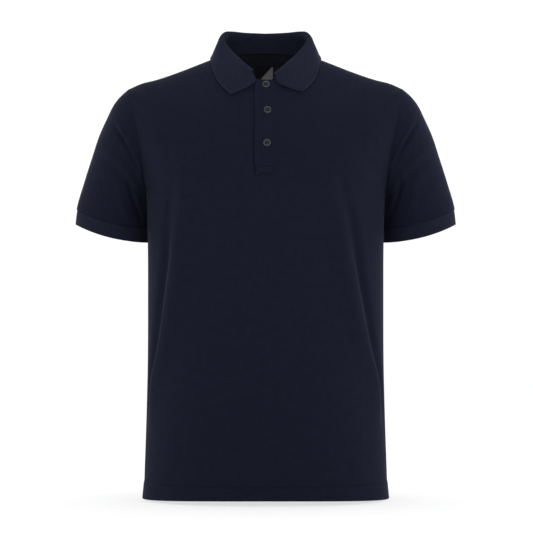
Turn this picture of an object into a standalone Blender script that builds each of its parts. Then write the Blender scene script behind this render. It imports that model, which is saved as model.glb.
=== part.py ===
"""A men's short-sleeved polo shirt, hollow, in the shape that it has when it is worn.

Metres, +Z up. The front faces -Y and the wearer's left is +X. The origin lies between the two neck points,
where the wearer's shoulders and neck hold the shirt up.

Every piece of cloth is a wall, lofted through sections. A place on the body of the shirt is given by a ring,
counted from the hem up to the neckline, and by a turn round that ring: 0 at the centre of the back, 1 at the
side or shoulder seam and 2 at the centre of the front.
"""

import math

import bmesh
import bpy
import numpy as np
from mathutils import Vector

# Walls and gaps
CLOTH = 0.0015  # pique panels
RIB = 0.0020  # knitted collar and cuffs
GAP = 0.0003  # between two pieces at a seam

# Levels of the body, with z = 0 at the neck points
HEM_Z = -0.7120
UNDERARM_Z = -0.215
UNDERARM_X = 0.1925
SHOULDER_Z = -0.0520
SHOULDER_X = 0.2215
NECK_X = 0.077

# Ring numbers at those levels
UNDERARM = 14
SHOULDER = 28
NECK = 34

# How far the armhole reaches forwards and backwards from the shoulder line
ARMHOLE_DEPTH = {"front": 0.065, "back": 0.060}

# The placket: its cut in the front, the strip over it, and their common lower end
CUT_RIGHT = 0.014
CUT_LEFT = 0.016
STRIP_LAP = 0.0008
STRIP_WALL = 0.0018
PLACKET_END = 18

# Columns of the panels' meshes, on each side of the centre
COLUMNS_IN = 5
COLUMNS_OUT = 4
COLUMNS_CROWD = 1.4  # above 1, the outer columns crowd towards the side

# Drape folds: a crest and, outside it, a trough
CREST_HEIGHT = 0.0035
CREST_WIDTH = 0.012
TROUGH_DEPTH = 0.0050
TROUGH_WIDTH = 0.011
TROUGH_OFFSET = 0.018


def table(names, *rows):
    """A table with named columns, as a dictionary of arrays."""
    return dict(zip(names.split(), np.array(rows, float).T))


# The side line from the hem to the underarm, the armhole seam above it, and the shoulder seam
SIDE = table(
    "z x",
    (-0.7120, 0.1970),
    (-0.663, 0.1955),
    (-0.600, 0.1933),
    (-0.500, 0.1908),
    (-0.400, 0.1903),
    (-0.300, 0.1905),
    (-0.215, 0.1925),
)
ARMHOLE = table(
    "z x",
    (-0.215, 0.1925),
    (-0.175, 0.1970),
    (-0.134, 0.2040),
    (-0.095, 0.2105),
    (-0.0520, 0.2215),
)
SHOULDER_SEAM = table(
    "x z",
    (0.077, 0.0000),
    (0.106, -0.0113),
    (0.140, -0.0245),
    (0.178, -0.0373),
    (0.203, -0.0437),
    (0.2215, -0.0520),
)

# The centre lines of the front and back, how square each ring is (2 is an ellipse), and how much less square
# it is at its sides than at its centre
CENTRE = table(
    "ring front_y front_z front_square back_y back_z back_square blunt",
    (0, 0.1180, -0.7055, 2.50, 0.1050, -0.7055, 2.50, 0.00),
    (4, 0.1170, -0.5650, 2.45, 0.0955, -0.5650, 2.45, 0.00),
    (8, 0.1165, -0.4270, 2.45, 0.0915, -0.4250, 2.40, 0.00),
    (11, 0.1195, -0.3250, 2.60, 0.1010, -0.3220, 2.42, 0.00),
    (14, 0.1220, -0.2320, 2.82, 0.1110, -0.2280, 2.50, 0.00),
    (18, 0.1220, -0.1950, 2.78, 0.1140, -0.1900, 2.50, 0.12),
    (22, 0.1195, -0.1620, 2.52, 0.1145, -0.1400, 2.44, 0.45),
    (25, 0.1150, -0.1390, 2.40, 0.1110, -0.1050, 2.40, 0.80),
    (28, 0.1083, -0.1140, 2.40, 0.1020, -0.0700, 2.40, 0.95),
    (31, 0.0975, -0.0840, 2.20, 0.0800, -0.0300, 2.20, 0.40),
    (34, 0.0820, -0.0450, 2.10, 0.0450, 0.0100, 2.10, 0.00),
)

# Where the crest of each drape fold crosses the rings, and how strong it is there
FOLDS = table(
    "ring front_right front_left back_right back_left strength",
    (0, 0.176, 0.172, 0.160, 0.164, 0.0),
    (3, 0.183, 0.179, 0.166, 0.170, 0.0),
    (5, 0.182, 0.179, 0.166, 0.168, 0.7),
    (7, 0.168, 0.167, 0.158, 0.154, 1.0),
    (9, 0.158, 0.150, 0.147, 0.142, 1.0),
    (11, 0.149, 0.134, 0.136, 0.132, 1.0),
    (12, 0.146, 0.125, 0.131, 0.126, 0.8),
    (14, 0.136, 0.107, 0.121, 0.114, 0.4),
    (17, 0.130, 0.102, 0.117, 0.110, 0.2),
    (20, 0.126, 0.104, 0.116, 0.110, 0.0),
    (24, 0.130, 0.128, 0.128, 0.128, 0.0),
    (28, 0.140, 0.140, 0.140, 0.140, 0.0),
    (31, 0.090, 0.090, 0.090, 0.090, 0.0),
    (34, 0.040, 0.040, 0.038, 0.038, 0.0),
)

# The sleeve: its outer and inner lines seen from the front, its depth, and how far its inner line swings back.
# It starts at the armhole (0), its cuff is sewn on at 1, and the cuff ends at CUFF_END
CUFF_END = 1.12
SLEEVE = table(
    "along out_x out_z in_x in_z front back dip sway",
    (0.00, 0.2215, -0.0520, 0.1925, -0.2150, 0.0650, 0.0600, 0.0000, 0.0000),
    (0.08, 0.2345, -0.0635, 0.1934, -0.2215, 0.0665, 0.0625, 0.0000, 0.0030),
    (0.16, 0.2450, -0.0765, 0.1935, -0.2275, 0.0670, 0.0640, 0.0010, 0.0105),
    (0.28, 0.2568, -0.0998, 0.1922, -0.2355, 0.0665, 0.0645, 0.0025, 0.0205),
    (0.41, 0.2684, -0.1255, 0.1908, -0.2440, 0.0650, 0.0635, 0.0040, 0.0260),
    (0.60, 0.2815, -0.1645, 0.1900, -0.2555, 0.0610, 0.0600, 0.0055, 0.0300),
    (0.80, 0.2945, -0.2052, 0.1898, -0.2665, 0.0560, 0.0555, 0.0065, 0.0300),
    (1.00, 0.3062, -0.2465, 0.1898, -0.2770, 0.0520, 0.0520, 0.0072, 0.0300),
    (1.12, 0.3092, -0.2708, 0.1900, -0.3000, 0.0495, 0.0495, 0.0075, 0.0300),
)
SLEEVE_ROWS = (
    *(0, 0.03, 0.07, 0.11, 0.15, 0.19, 0.23, 0.28, 0.33),
    *(0.39, 0.46, 0.54, 0.62, 0.71, 0.80, 0.88, 0.95, 1),
)
CUFF_ROWS = (1.002, 1.06, CUFF_END)
CUFF_STEP = 0.0012  # how far the sleeve stands out over its cuff
SEAM_START = 2.2 * GAP  # from the armhole seam to the start of the sleeve

# Creases that fan out from the underarm: their place along the sleeve at its inner and outer line
CREASES = table(
    "face at_inner at_outer height",
    (-1, 0.04, 0.27, 0.0032),
    (-1, 0.22, 0.46, 0.0020),
    (1, 0.03, 0.25, 0.0028),
    (1, 0.20, 0.42, 0.0020),
)
CREASE_WIDTH = 0.008
CREASE_TROUGH = 0.013  # from a crease's ridge to the trough below it
TROUGH_SHARE = 0.8  # how deep the trough is, for a ridge of 1
CREASE_FADE = 1.5  # the power that ends the creases at the top and bottom lines of a sleeve
CREASE_START = 0.08  # where they are full, along the sleeve
INNER_LENGTH = 0.085  # of the sleeve along its inner and outer lines
OUTER_LENGTH = 0.215
SEAM_FADE = 0.35  # where the sleeve no longer follows the curve of the armhole

# The collar from the centre of the back (0) to its front end (1): its fold line, and where the edge of its
# fall lies on the body. belly moves the middle of the fall down and towards the placket
COLLAR_END = {1: 0.010, -1: 0.015}
COLLAR = table(
    "along fold_x fold_y fold_z edge_ring edge_turn belly",
    (0.00, 0.0000, 0.0400, 0.0430, 32.60, 0.000, 0.000),
    (0.20, 0.0340, 0.0320, 0.0435, 32.65, 0.360, 0.000),
    (0.36, 0.0560, 0.0150, 0.0435, 33.10, 0.720, 0.000),
    (0.48, 0.0655, -0.0020, 0.0400, 33.58, 1.060, 0.000),
    (0.60, 0.0670, -0.0200, 0.0260, 33.10, 1.326, 0.000),
    (0.72, 0.0530, -0.0430, 0.0050, 32.39, 1.518, 0.000),
    (0.86, 0.0330, -0.0650, -0.0160, 32.01, 1.620, 0.003),
    (1.00, 0.0155, -0.0790, -0.0325, 31.71, 1.693, 0.011),
)
FULLNESS = {1: 0.75, -1: 1.0}  # the right end of the collar is the rounder
UPPER_BELLY = (-1.60, -0.12, -0.30)  # the way that the belly goes, a third down the fall and two thirds down
LOWER_BELLY = (-0.60, -0.25, -0.60)
FOLD_END = {1: (-0.0040, -0.0018, -0.0018), -1: (0.0025, 0.0015, 0.0035)}  # each end of the fold line, moved
TIP_LIFT = {1: 0.11, -1: -0.11}  # in rings: the left point of the collar sits a little higher than the right
TIP_OPEN = {1: -0.0135, -1: 0.0135}  # in turns: and a little further out
END_ONLY = 6  # the power of the place along the collar that keeps those moves to its ends
COLLAR_STATIONS = 19
FOLD_RADIUS = 0.0042
FALL_CLEAR = 0.0008
FALL_BULGE = 0.0012
COLLAR_LIFT = 3 * GAP  # from the neck seam to the foot of the collar

COLLAR_STEPS = (1, 1, 2, 2, 2, 2, 2)  # mesh steps between the knots of its section

# Buttons, each at its own x and height, and half of their turned section in shares of radius and thickness
BUTTON_RADIUS = 0.0058
BUTTON_THICK = 0.0024
BUTTON_LIFT = 0.0007
HOLE_RADIUS = 0.0007
HOLE_SPREAD = 0.0012
BUTTONS = (("top", 0.0006, -0.0531), ("middle", 0.0028, -0.0946), ("bottom", 0.0019, -0.1465))
BUTTON_PROFILE = table(
    "radius height",
    (0.00, 0.40),
    (0.50, 0.45),
    (0.68, 0.92),
    (0.84, 1.00),
    (1.00, 0.65),
    (0.92, 0.15),
    (0.70, 0.00),
    (0.00, 0.00),
)

# The label, on the inside of the back: rings of its lower and upper edge
LABEL_WIDTH = 0.030
LABEL_X = -0.003
LABEL_FOOT = 30.9
LABEL_TOP = 32.6
LABEL_WALL = 0.0010
LABEL_GAP = 0.0007

RING_POINTS = 160  # along half a ring
RING_NEAR = 0.04  # how far apart points are taken to find which way a surface faces: in rings
ARC_NEAR = 0.0008  # in metres along a ring
RING_BELOW = 0.15  # in rings below the neck seam
COLLAR_NEAR = 0.02  # as a share of half the collar

RING_STEP = 120  # rings for each metre down the centre of the front, at the placket

NAVY = (0.0112, 0.0124, 0.0232)
NAVY_RIB = (0.0140, 0.0155, 0.0270)
CHARCOAL = (0.022, 0.024, 0.030)
GREY = (0.22, 0.22, 0.24)


def read(rows, column, at):
    """A column of a table at a value of its first column, on a smooth curve through its rows."""
    x = next(iter(rows.values()))
    y = rows[column]
    slope = np.gradient(y, x)
    k = int(np.clip(np.searchsorted(x, at) - 1, 0, len(x) - 2))
    step = x[k + 1] - x[k]
    s = min(max((at - x[k]) / step, 0), 1)
    start = (1 + 2 * s) * (1 - s) ** 2 * y[k] + s * (1 - s) ** 2 * step * slope[k]
    return start + s * s * (3 - 2 * s) * y[k + 1] + s * s * (s - 1) * step * slope[k + 1]


def unit(v):
    """Vectors made one long."""
    v = np.asarray(v, float)
    return v / np.linalg.norm(v, axis=-1, keepdims=True)


def ring_side(ring):
    """Where a ring meets the side: its x and z, and how far open the armhole is there (0 to 1)."""
    if ring <= UNDERARM:
        z = HEM_Z + (UNDERARM_Z - HEM_Z) * ring / UNDERARM
        return read(SIDE, "x", z), z, 0.0
    if ring <= SHOULDER:
        turn = math.pi * (ring - UNDERARM) / (SHOULDER - UNDERARM)
        z = (UNDERARM_Z + SHOULDER_Z) / 2 - (SHOULDER_Z - UNDERARM_Z) / 2 * math.cos(turn)
        return read(ARMHOLE, "x", z), z, math.sin(turn)
    x = SHOULDER_X + (NECK_X - SHOULDER_X) * (ring - SHOULDER) / (NECK - SHOULDER)
    return x, read(SHOULDER_SEAM, "z", x), 0.0


def half_ring(face, ring):
    """Points along half a ring, from the centre to the side edge, and how far along it each one lies."""
    side_x, side_z, opened = ring_side(ring)
    depth = read(CENTRE, face + "_y", ring)
    centre_z = read(CENTRE, face + "_z", ring)
    square = read(CENTRE, face + "_square", ring)
    ends = square - read(CENTRE, "blunt", ring)
    edge = max(opened * ARMHOLE_DEPTH[face], GAP / 2)
    full_x = side_x / (1 - (edge / depth) ** ends) ** (1 / square)
    x = side_x * np.sin(np.linspace(0, math.pi / 2, RING_POINTS))
    y = depth * np.maximum(1 - (x / full_x) ** square, 0) ** (1 / ends)
    z = side_z + (centre_z - side_z) * (y**2 - edge**2) / (depth**2 - edge**2)
    path = np.stack([x, -y if face == "front" else y, z], 1)
    along = np.append(0, np.cumsum(np.linalg.norm(np.diff(path, axis=0), axis=1)))
    return path, along


def half_length(face, ring):
    """The length of half a ring."""
    return half_ring(face, ring)[1][-1]


def bare(face, ring, arcs):
    """Points on a panel without its folds. An arc is how far each is from the centre line, positive left."""
    path, along = half_ring(face, ring)
    arcs = np.asarray(arcs, float)
    points = np.stack([np.interp(abs(arcs), along, path[:, k]) for k in range(3)], -1)
    points[..., 0] *= np.sign(arcs)
    return points


def facing(surface, face, ring, arcs):
    """The outward directions of a surface of the body at some places on a ring."""
    arcs = np.asarray(arcs, float)
    length = half_length(face, ring)
    low, high = max(ring - RING_NEAR, 0), min(ring + RING_NEAR, NECK)
    below = surface(face, low, arcs / length * half_length(face, low))
    above = surface(face, high, arcs / length * half_length(face, high))
    right = surface(face, ring, np.maximum(arcs - ARC_NEAR, -length))
    left = surface(face, ring, np.minimum(arcs + ARC_NEAR, length))
    return unit(np.cross(left - right, above - below)) * (1 if face == "front" else -1)


def crest_arc(face, ring, side):
    """How far from the centre line the crest of a drape fold lies."""
    path, along = half_ring(face, ring)
    name = face + ("_left" if side > 0 else "_right")
    return np.interp(read(FOLDS, name, ring), path[:, 0], along)


def panel(face, ring, arcs):
    """Points on a panel's outer surface, with its drape folds."""
    arcs = np.asarray(arcs, float)
    strength = max(read(FOLDS, "strength", ring), 0)
    relief = np.zeros_like(arcs)
    for side in (1, -1):
        past = side * arcs - crest_arc(face, ring, side)
        crest = CREST_HEIGHT * np.exp(-((past / CREST_WIDTH) ** 2))
        trough = TROUGH_DEPTH * np.exp(-(((past - TROUGH_OFFSET) / TROUGH_WIDTH) ** 2))
        relief += strength * np.where(side * arcs > 0, crest - trough, 0)
    return bare(face, ring, arcs) + relief[..., None] * facing(bare, face, ring, arcs)


def off_panel(face, ring, arcs, out):
    """Points at a distance outside a panel's outer surface, or inside it where the distance is negative."""
    return panel(face, ring, arcs) + out * facing(panel, face, ring, arcs)


def on_body(ring, turn, side, out=0.0):
    """A point by its ring and turn (0 centre back, 1 side or shoulder seam, 2 centre front), moved out."""
    face = "back" if turn <= 1 else "front"
    share = turn if face == "back" else 2 - turn
    return off_panel(face, ring, np.array([side * share * half_length(face, ring)]), out)[0]


def column_arcs(face, ring, inner_right, inner_left):
    """The arcs of a panel's columns on a ring: close together at its folds, wider apart elsewhere."""
    halves = []
    for side, inner in ((-1, inner_right), (1, inner_left)):
        crest = crest_arc(face, ring, side)
        past = (-CREST_WIDTH, 0, TROUGH_OFFSET / 2, TROUGH_OFFSET, TROUGH_OFFSET + TROUGH_WIDTH)
        marks = crest + np.array(past)
        towards = np.linspace(inner, marks[0], COLUMNS_IN + 1)[:-1]
        share = 1 - (1 - np.linspace(0, 1, COLUMNS_OUT + 1)[1:]) ** COLUMNS_CROWD
        beyond = marks[-1] + (half_length(face, ring) - marks[-1]) * share
        halves.append(side * np.concatenate([towards, marks, beyond]))
    return np.concatenate([halves[0][::-1], [0], halves[1]])


def sleeve(side, along, turns):
    """Points on a sleeve's outer surface. A turn is 0 at the top, 0.25 in front and 0.5 at the underarm."""
    angle = 2 * math.pi * np.asarray(turns, float)
    share = (1 + np.cos(angle)) / 2
    out_x, out_z, in_x, in_z = (read(SLEEVE, name, along) for name in ("out_x", "out_z", "in_x", "in_z"))
    front, back, dip, sway = (read(SLEEVE, name, along) for name in ("front", "back", "dip", "sway"))
    x = in_x + (out_x - in_x) * share
    z = in_z + (out_z - in_z) * share - dip * np.sin(angle) ** 2
    y = -np.sin(angle) * np.where(np.sin(angle) > 0, front, back) + sway * (1 - share) ** 2
    chord_x = UNDERARM_X + (SHOULDER_X - UNDERARM_X) * share
    seam_z = UNDERARM_Z + (SHOULDER_Z - UNDERARM_Z) * share
    seam_x = np.array([read(ARMHOLE, "x", level) for level in seam_z])
    x = x + (seam_x - chord_x) * max(1 - along / SEAM_FADE, 0) ** 2
    return np.stack([side * x, y, z], -1)


def creased_sleeve(side, along, turns):
    """Points on a sleeve's outer surface with its creases."""
    turns = np.asarray(turns, float)
    share = (1 + np.cos(2 * math.pi * turns)) / 2
    length = INNER_LENGTH + (OUTER_LENGTH - INNER_LENGTH) * share
    relief = np.zeros_like(turns)
    for face, at_inner, at_outer, height in zip(*CREASES.values()):
        past = (along - at_inner - (at_outer - at_inner) * share) * length
        fade = np.maximum(-face * np.sin(2 * math.pi * turns), 0) ** CREASE_FADE
        fade *= min(along / CREASE_START, 1)
        ridge = np.exp(-((past / CREASE_WIDTH) ** 2))
        trough = TROUGH_SHARE * np.exp(-(((past - CREASE_TROUGH) / CREASE_WIDTH) ** 2))
        relief += height * fade * (ridge - trough)
    return sleeve(side, along, turns) + relief[:, None] * sleeve_facing(sleeve, side, along, turns)


def sleeve_facing(surface, side, along, turns):
    """The outward directions of a sleeve's surface."""
    turns = np.asarray(turns, float)
    before, after = max(along - 0.01, 0), min(along + 0.01, CUFF_END)
    lengthwise = surface(side, after, turns) - surface(side, before, turns)
    round_it = surface(side, along, turns + 0.004) - surface(side, along, turns - 0.004)
    return unit(np.cross(round_it, lengthwise)) * side


def armhole_facing(side, turns):
    """The outward directions of the body's panels along the armhole seam, at a sleeve's turns."""
    found = []
    for turn in turns:
        half_turn = min(turn, 1 - turn)
        ring = SHOULDER - 2 * half_turn * (SHOULDER - UNDERARM)
        face = "front" if turn <= 0.5 else "back"
        edge = side * half_length(face, ring)
        found.append(facing(panel, face, ring, np.array([edge]))[0])
    return np.array(found)


def sleeve_grids(side):
    """The outer and inner points of a sleeve, from the armhole to the cuff."""
    count = 2 * (SHOULDER - UNDERARM)
    turns = np.arange(count) / count
    outer, inner = [], []
    for along in SLEEVE_ROWS:
        points = creased_sleeve(side, along, turns)
        normals = sleeve_facing(creased_sleeve, side, along, turns)
        if along == 0:
            # At the top the seam is a ridge, so the two end faces are made parallel. At the underarm it is a
            # valley, and the sleeve starts just outside the body's surface.
            top = ((1 + np.cos(2 * math.pi * turns)) / 2)[:, None]
            seam = np.roll(points, -1, 0) - np.roll(points, 1, 0)
            body = armhole_facing(side, turns)
            leaving = unit(np.cross(normals, seam)) * side
            points = points + SEAM_START * unit(leaving * top + body * (1 - top))
            normals = unit(body * top + normals * (1 - top))
        outer.append(points)
        inner.append(points - CLOTH * normals)
    return np.array(outer), np.array(inner)


def cuff_grids(side):
    """The outer and inner points of a rib cuff."""
    count = 2 * (SHOULDER - UNDERARM)
    turns = np.arange(count) / count
    outer, inner = [], []
    for along in CUFF_ROWS:
        points = sleeve(side, along, turns)
        normals = sleeve_facing(sleeve, side, along, turns)
        outer.append(points - CUFF_STEP * normals)
        inner.append(points - (CUFF_STEP + RIB) * normals)
    return np.array(outer), np.array(inner)


def collar_section(along, side):
    """The outer foot of the stand at one place, and knots across the collar's visible skin: up the inside of
    the stand, over the fold and down to the fall's edge."""
    end_turn = 2 - COLLAR_END[side] / half_length("front", NECK)
    turn = along * end_turn
    seam = on_body(NECK, turn, side)
    up = unit(seam - on_body(NECK - RING_BELOW, turn, side))
    base = seam + COLLAR_LIFT * up
    mirror = np.array([side, 1, 1])
    fold = np.array([read(COLLAR, name, along) for name in ("fold_x", "fold_y", "fold_z")])
    fold = mirror * (fold + along**END_ONLY * np.array(FOLD_END[side]))
    edge_ring = read(COLLAR, "edge_ring", along) + TIP_LIFT[side] * along**END_ONLY
    edge_turn = read(COLLAR, "edge_turn", along) + TIP_OPEN[side] * along**END_ONLY
    edge = on_body(edge_ring, edge_turn, side, RIB + FALL_CLEAR)
    ahead = [read(COLLAR, name, min(along + COLLAR_NEAR, 1)) for name in ("fold_x", "fold_y", "fold_z")]
    behind = [read(COLLAR, name, max(along - COLLAR_NEAR, 0)) for name in ("fold_x", "fold_y", "fold_z")]
    line = unit((np.array(ahead) - behind) * mirror)
    if along == 0:
        line = np.array([side, 0, 0], float)
    rise = unit(fold - (base + edge) / 2)
    rise = unit(rise - line * (rise @ line))
    out = unit(np.cross(line, rise)) * side
    if out @ (edge - base) < 0:
        out = -out
    inside = base - RIB * out
    turn_in = fold - FOLD_RADIUS * (out + rise)
    turn_out = fold + FOLD_RADIUS * (out - rise)
    belly = FULLNESS[side] * read(COLLAR, "belly", along)
    fall = edge - turn_out
    upper = turn_out + fall / 3 + FALL_BULGE * out + belly * mirror * UPPER_BELLY
    lower = turn_out + fall * 2 / 3 + FALL_BULGE * out + belly * mirror * LOWER_BELLY
    return base, np.array([inside, (inside + turn_in) / 2, turn_in, fold, turn_out, upper, lower, edge])


def across(knots):
    """Points across the collar on a smooth curve through its knots, closest together at the fold."""
    gaps = np.linalg.norm(np.diff(knots, axis=0), axis=1) ** 0.5
    at = np.append(0, np.cumsum(gaps))
    rows = {"at": at, "x": knots[:, 0], "y": knots[:, 1], "z": knots[:, 2]}
    places = [at[0]]
    for k, steps in enumerate(COLLAR_STEPS):
        places.extend(np.linspace(at[k], at[k + 1], steps + 1)[1:])
    return np.array([[read(rows, name, t) for name in "xyz"] for t in places])


def grid_facing(grid):
    """The directions square to a grid of points, along its rows crossed with along its columns."""
    return unit(np.cross(np.gradient(grid, axis=1), np.gradient(grid, axis=0)))


def collar_grids():
    """The visible skin of the collar (inside of the stand, outside of the fall) and its hidden skin."""
    feet, sections = [], []
    for along in np.linspace(-1, 1, 2 * COLLAR_STATIONS - 1):
        foot, knots = collar_section(abs(along), 1 if along >= 0 else -1)
        feet.append(foot)
        sections.append(across(knots))
    visible = np.array(sections)
    hidden = visible + RIB * grid_facing(visible)
    hidden[:, 0] = feet
    return visible, hidden


def strip_grids(rings, arcs, out, wall):
    """The outer and inner points of a strip that lies on the front or back, moved out from its points."""
    face, across_arcs = arcs
    outer = np.array([off_panel(face, ring, across_arcs, out + wall) for ring in rings])
    inner = np.array([off_panel(face, ring, across_arcs, out) for ring in rings])
    return outer, inner


def cloth(name, grids, material, closed=False, skipped=()):
    """Makes one closed piece from its outer and inner points. closed joins the last column to the first, and
    skipped lists the cells, by row and column, that the piece doesn't have."""
    outer, inner = grids
    rows, columns = outer.shape[:2]
    width = columns if closed else columns - 1
    corners = [(0, 0), (0, 1), (1, 1), (1, 0)]
    cells = []
    for row in range(rows - 1):
        for column in range(width):
            if (row, column) not in skipped:
                cells.append([(row + r, (column + c) % columns) for r, c in corners])
    used = sorted({place for cell in cells for place in cell})
    work = bmesh.new()
    skin = {place: work.verts.new(outer[place]) for place in used}
    lining = {place: work.verts.new(inner[place]) for place in used}
    edges = set()
    for a, b, c, d in cells:
        for corner in ((a, b, c), (a, c, d)):  # the same diagonal on both skins keeps them parallel
            work.faces.new([skin[place] for place in corner])
            work.faces.new([lining[place] for place in reversed(corner)])
        edges.update(((a, b), (b, c), (c, d), (d, a)))
    for start, end in sorted(edges):
        if (end, start) not in edges:
            work.faces.new([skin[end], skin[start], lining[start], lining[end]])
    bmesh.ops.recalc_face_normals(work, faces=work.faces)
    return add_object(name, work, material)


def add_object(name, work, material):
    """Turns a bmesh into a named object in the shirt's collection."""
    mesh = bpy.data.meshes.new(name)
    work.to_mesh(mesh)
    work.free()
    mesh.materials.append(material)
    mesh.shade_smooth()
    mesh.set_sharp_from_angle(angle=math.radians(50))
    made = bpy.data.objects.new(name, mesh)
    SHIRT.objects.link(made)
    return made


def finish(name, colour, roughness):
    """A Principled material."""
    material = bpy.data.materials.new(name)
    material.use_nodes = True
    shader = material.node_tree.nodes["Principled BSDF"]
    shader.inputs["Base Color"].default_value = (*colour, 1)
    shader.inputs["Roughness"].default_value = roughness
    material.diffuse_color = (*colour, 1)
    return material


def make_panel(face, material):
    """Makes the front, with its notch for the placket, or the back."""
    rings = range(NECK + 1)
    arcs = [column_arcs(face, ring, CUT_RIGHT, CUT_LEFT) for ring in rings]
    outer = np.array([panel(face, ring, row) for ring, row in zip(rings, arcs)])
    inner = np.array([off_panel(face, ring, row, -CLOTH) for ring, row in zip(rings, arcs)])
    centre = outer.shape[1] // 2
    notch = {(row, column) for row in range(PLACKET_END, NECK) for column in (centre - 1, centre)}
    return cloth(face, (outer, inner), material, skipped=notch if face == "front" else ())


def make_placket(material):
    """Makes the under strip, in the front's notch, and the upper strip over it."""
    rings = np.linspace(PLACKET_END, NECK, NECK - PLACKET_END + 1)
    under_rings = rings.copy()
    under_rings[0] += RING_STEP * GAP
    under_arcs = np.array([-CUT_RIGHT + GAP, 0, CUT_LEFT - GAP])
    cloth("placket_under", strip_grids(under_rings, ("front", under_arcs), -CLOTH, CLOTH), material)
    upper_rings = rings.copy()
    upper_rings[0] -= RING_STEP * STRIP_LAP
    upper_arcs = np.linspace(-CUT_RIGHT - STRIP_LAP, CUT_LEFT + STRIP_LAP, 5)
    cloth("placket_upper", strip_grids(upper_rings, ("front", upper_arcs), GAP, STRIP_WALL), material)


def hole_cutter():
    """Four pins, as one mesh, that drill the holes of a button along its axis."""
    work = bmesh.new()
    for x in (-HOLE_SPREAD, HOLE_SPREAD):
        for y in (-HOLE_SPREAD, HOLE_SPREAD):
            made = bmesh.ops.create_cone(
                work,
                cap_ends=True,
                segments=8,
                radius1=HOLE_RADIUS,
                radius2=HOLE_RADIUS,
                depth=4 * BUTTON_THICK,
            )
            bmesh.ops.translate(work, verts=made["verts"], vec=(x, y, 0))
    mesh = bpy.data.meshes.new("button_holes")
    work.to_mesh(mesh)
    work.free()
    return mesh


def make_button(name, x, level, holes, material):
    """Makes a turned button with four holes, on the upper strip at a height."""
    ring = np.interp(level, CENTRE["front_z"], CENTRE["ring"])
    for _ in range(4):
        ring += (level - off_panel("front", ring, [x], GAP + STRIP_WALL)[0, 2]) * RING_STEP
    normal = Vector(facing(panel, "front", ring, [x])[0])
    seat = Vector(off_panel("front", ring, [x], STRIP_WALL + BUTTON_LIFT)[0])
    work = bmesh.new()
    points = []
    for radius, height in zip(*BUTTON_PROFILE.values()):
        points.append(work.verts.new((BUTTON_RADIUS * radius, 0, BUTTON_THICK * height)))
    for start, end in zip(points, points[1:]):
        work.edges.new((start, end))
    button = add_object(name, work, material)
    cutter = bpy.data.objects.new(name + "_holes", holes)
    CUTTERS.objects.link(cutter)
    cutter.hide_render = True
    cutter.display_type = "WIRE"
    for placed in (button, cutter):
        placed.location = seat
        placed.rotation_euler = normal.to_track_quat("Z", "Y").to_euler()
    screw = button.modifiers.new("turn", "SCREW")
    screw.steps = screw.render_steps = 20
    screw.use_merge_vertices = True
    screw.merge_threshold = 0.00001
    drill = button.modifiers.new("drill", "BOOLEAN")
    drill.operation = "DIFFERENCE"
    drill.object = cutter


for old in list(bpy.data.objects):
    bpy.data.objects.remove(old, do_unlink=True)
SHIRT = bpy.data.collections.new("polo_shirt")
CUTTERS = bpy.data.collections.new("polo_shirt_cutters")
for group in (SHIRT, CUTTERS):
    bpy.context.scene.collection.children.link(group)

pique = finish("pique_navy", NAVY, 0.9)
rib = finish("rib_navy", NAVY_RIB, 0.9)
plastic = finish("button_plastic", CHARCOAL, 0.4)
woven = finish("label_grey", GREY, 0.8)

make_panel("front", pique)
make_panel("back", pique)
for name, side in (("left", 1), ("right", -1)):
    cloth("sleeve_" + name, sleeve_grids(side), pique, closed=True)
    cloth("cuff_" + name, cuff_grids(side), rib, closed=True)
cloth("collar", collar_grids(), rib)
make_placket(pique)
pins = hole_cutter()
for name, x, level in BUTTONS:
    make_button("button_" + name, x, level, pins, plastic)
label_arcs = LABEL_X + np.linspace(-LABEL_WIDTH / 2, LABEL_WIDTH / 2, 4)
label_rings = np.linspace(LABEL_FOOT, LABEL_TOP, 4)
label_grids = strip_grids(label_rings, ("back", label_arcs), -CLOTH - LABEL_GAP - LABEL_WALL, LABEL_WALL)
cloth("neck_label", label_grids, woven)
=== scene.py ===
"""The finished look of a men's short-sleeved polo shirt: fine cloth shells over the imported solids, their
knit and sewing, the buttons, a pale floor, soft light and the camera.

Metres, +Z up. The front faces -Y and the wearer's left is +X. A place on the body of the shirt is given by
a ring, counted from the hem up to the neckline, and by a turn round that ring: 0 at the centre of the back,
1 at the side or shoulder seam and 2 at the centre of the front.
"""

import functools
import math

import bmesh
import bpy
import numpy as np
from mathutils import Matrix, Vector


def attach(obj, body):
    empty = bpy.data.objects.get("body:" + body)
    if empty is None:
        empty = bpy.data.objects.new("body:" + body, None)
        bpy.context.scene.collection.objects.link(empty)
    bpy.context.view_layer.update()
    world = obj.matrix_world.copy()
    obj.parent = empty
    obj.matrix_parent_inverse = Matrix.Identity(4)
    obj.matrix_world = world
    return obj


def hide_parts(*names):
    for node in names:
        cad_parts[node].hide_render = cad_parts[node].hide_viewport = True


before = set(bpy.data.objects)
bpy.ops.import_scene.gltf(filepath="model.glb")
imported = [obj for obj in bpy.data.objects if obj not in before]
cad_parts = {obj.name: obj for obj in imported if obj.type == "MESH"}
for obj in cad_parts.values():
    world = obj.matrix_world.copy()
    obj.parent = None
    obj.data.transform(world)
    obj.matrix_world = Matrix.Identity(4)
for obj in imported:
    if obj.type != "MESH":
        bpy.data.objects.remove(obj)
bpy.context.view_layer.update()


def table(names, *rows):
    """A table with named columns, as a dictionary of arrays."""
    return dict(zip(names.split(), np.array(rows, float).T))


# ---- Sizes that the solids share ----

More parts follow.
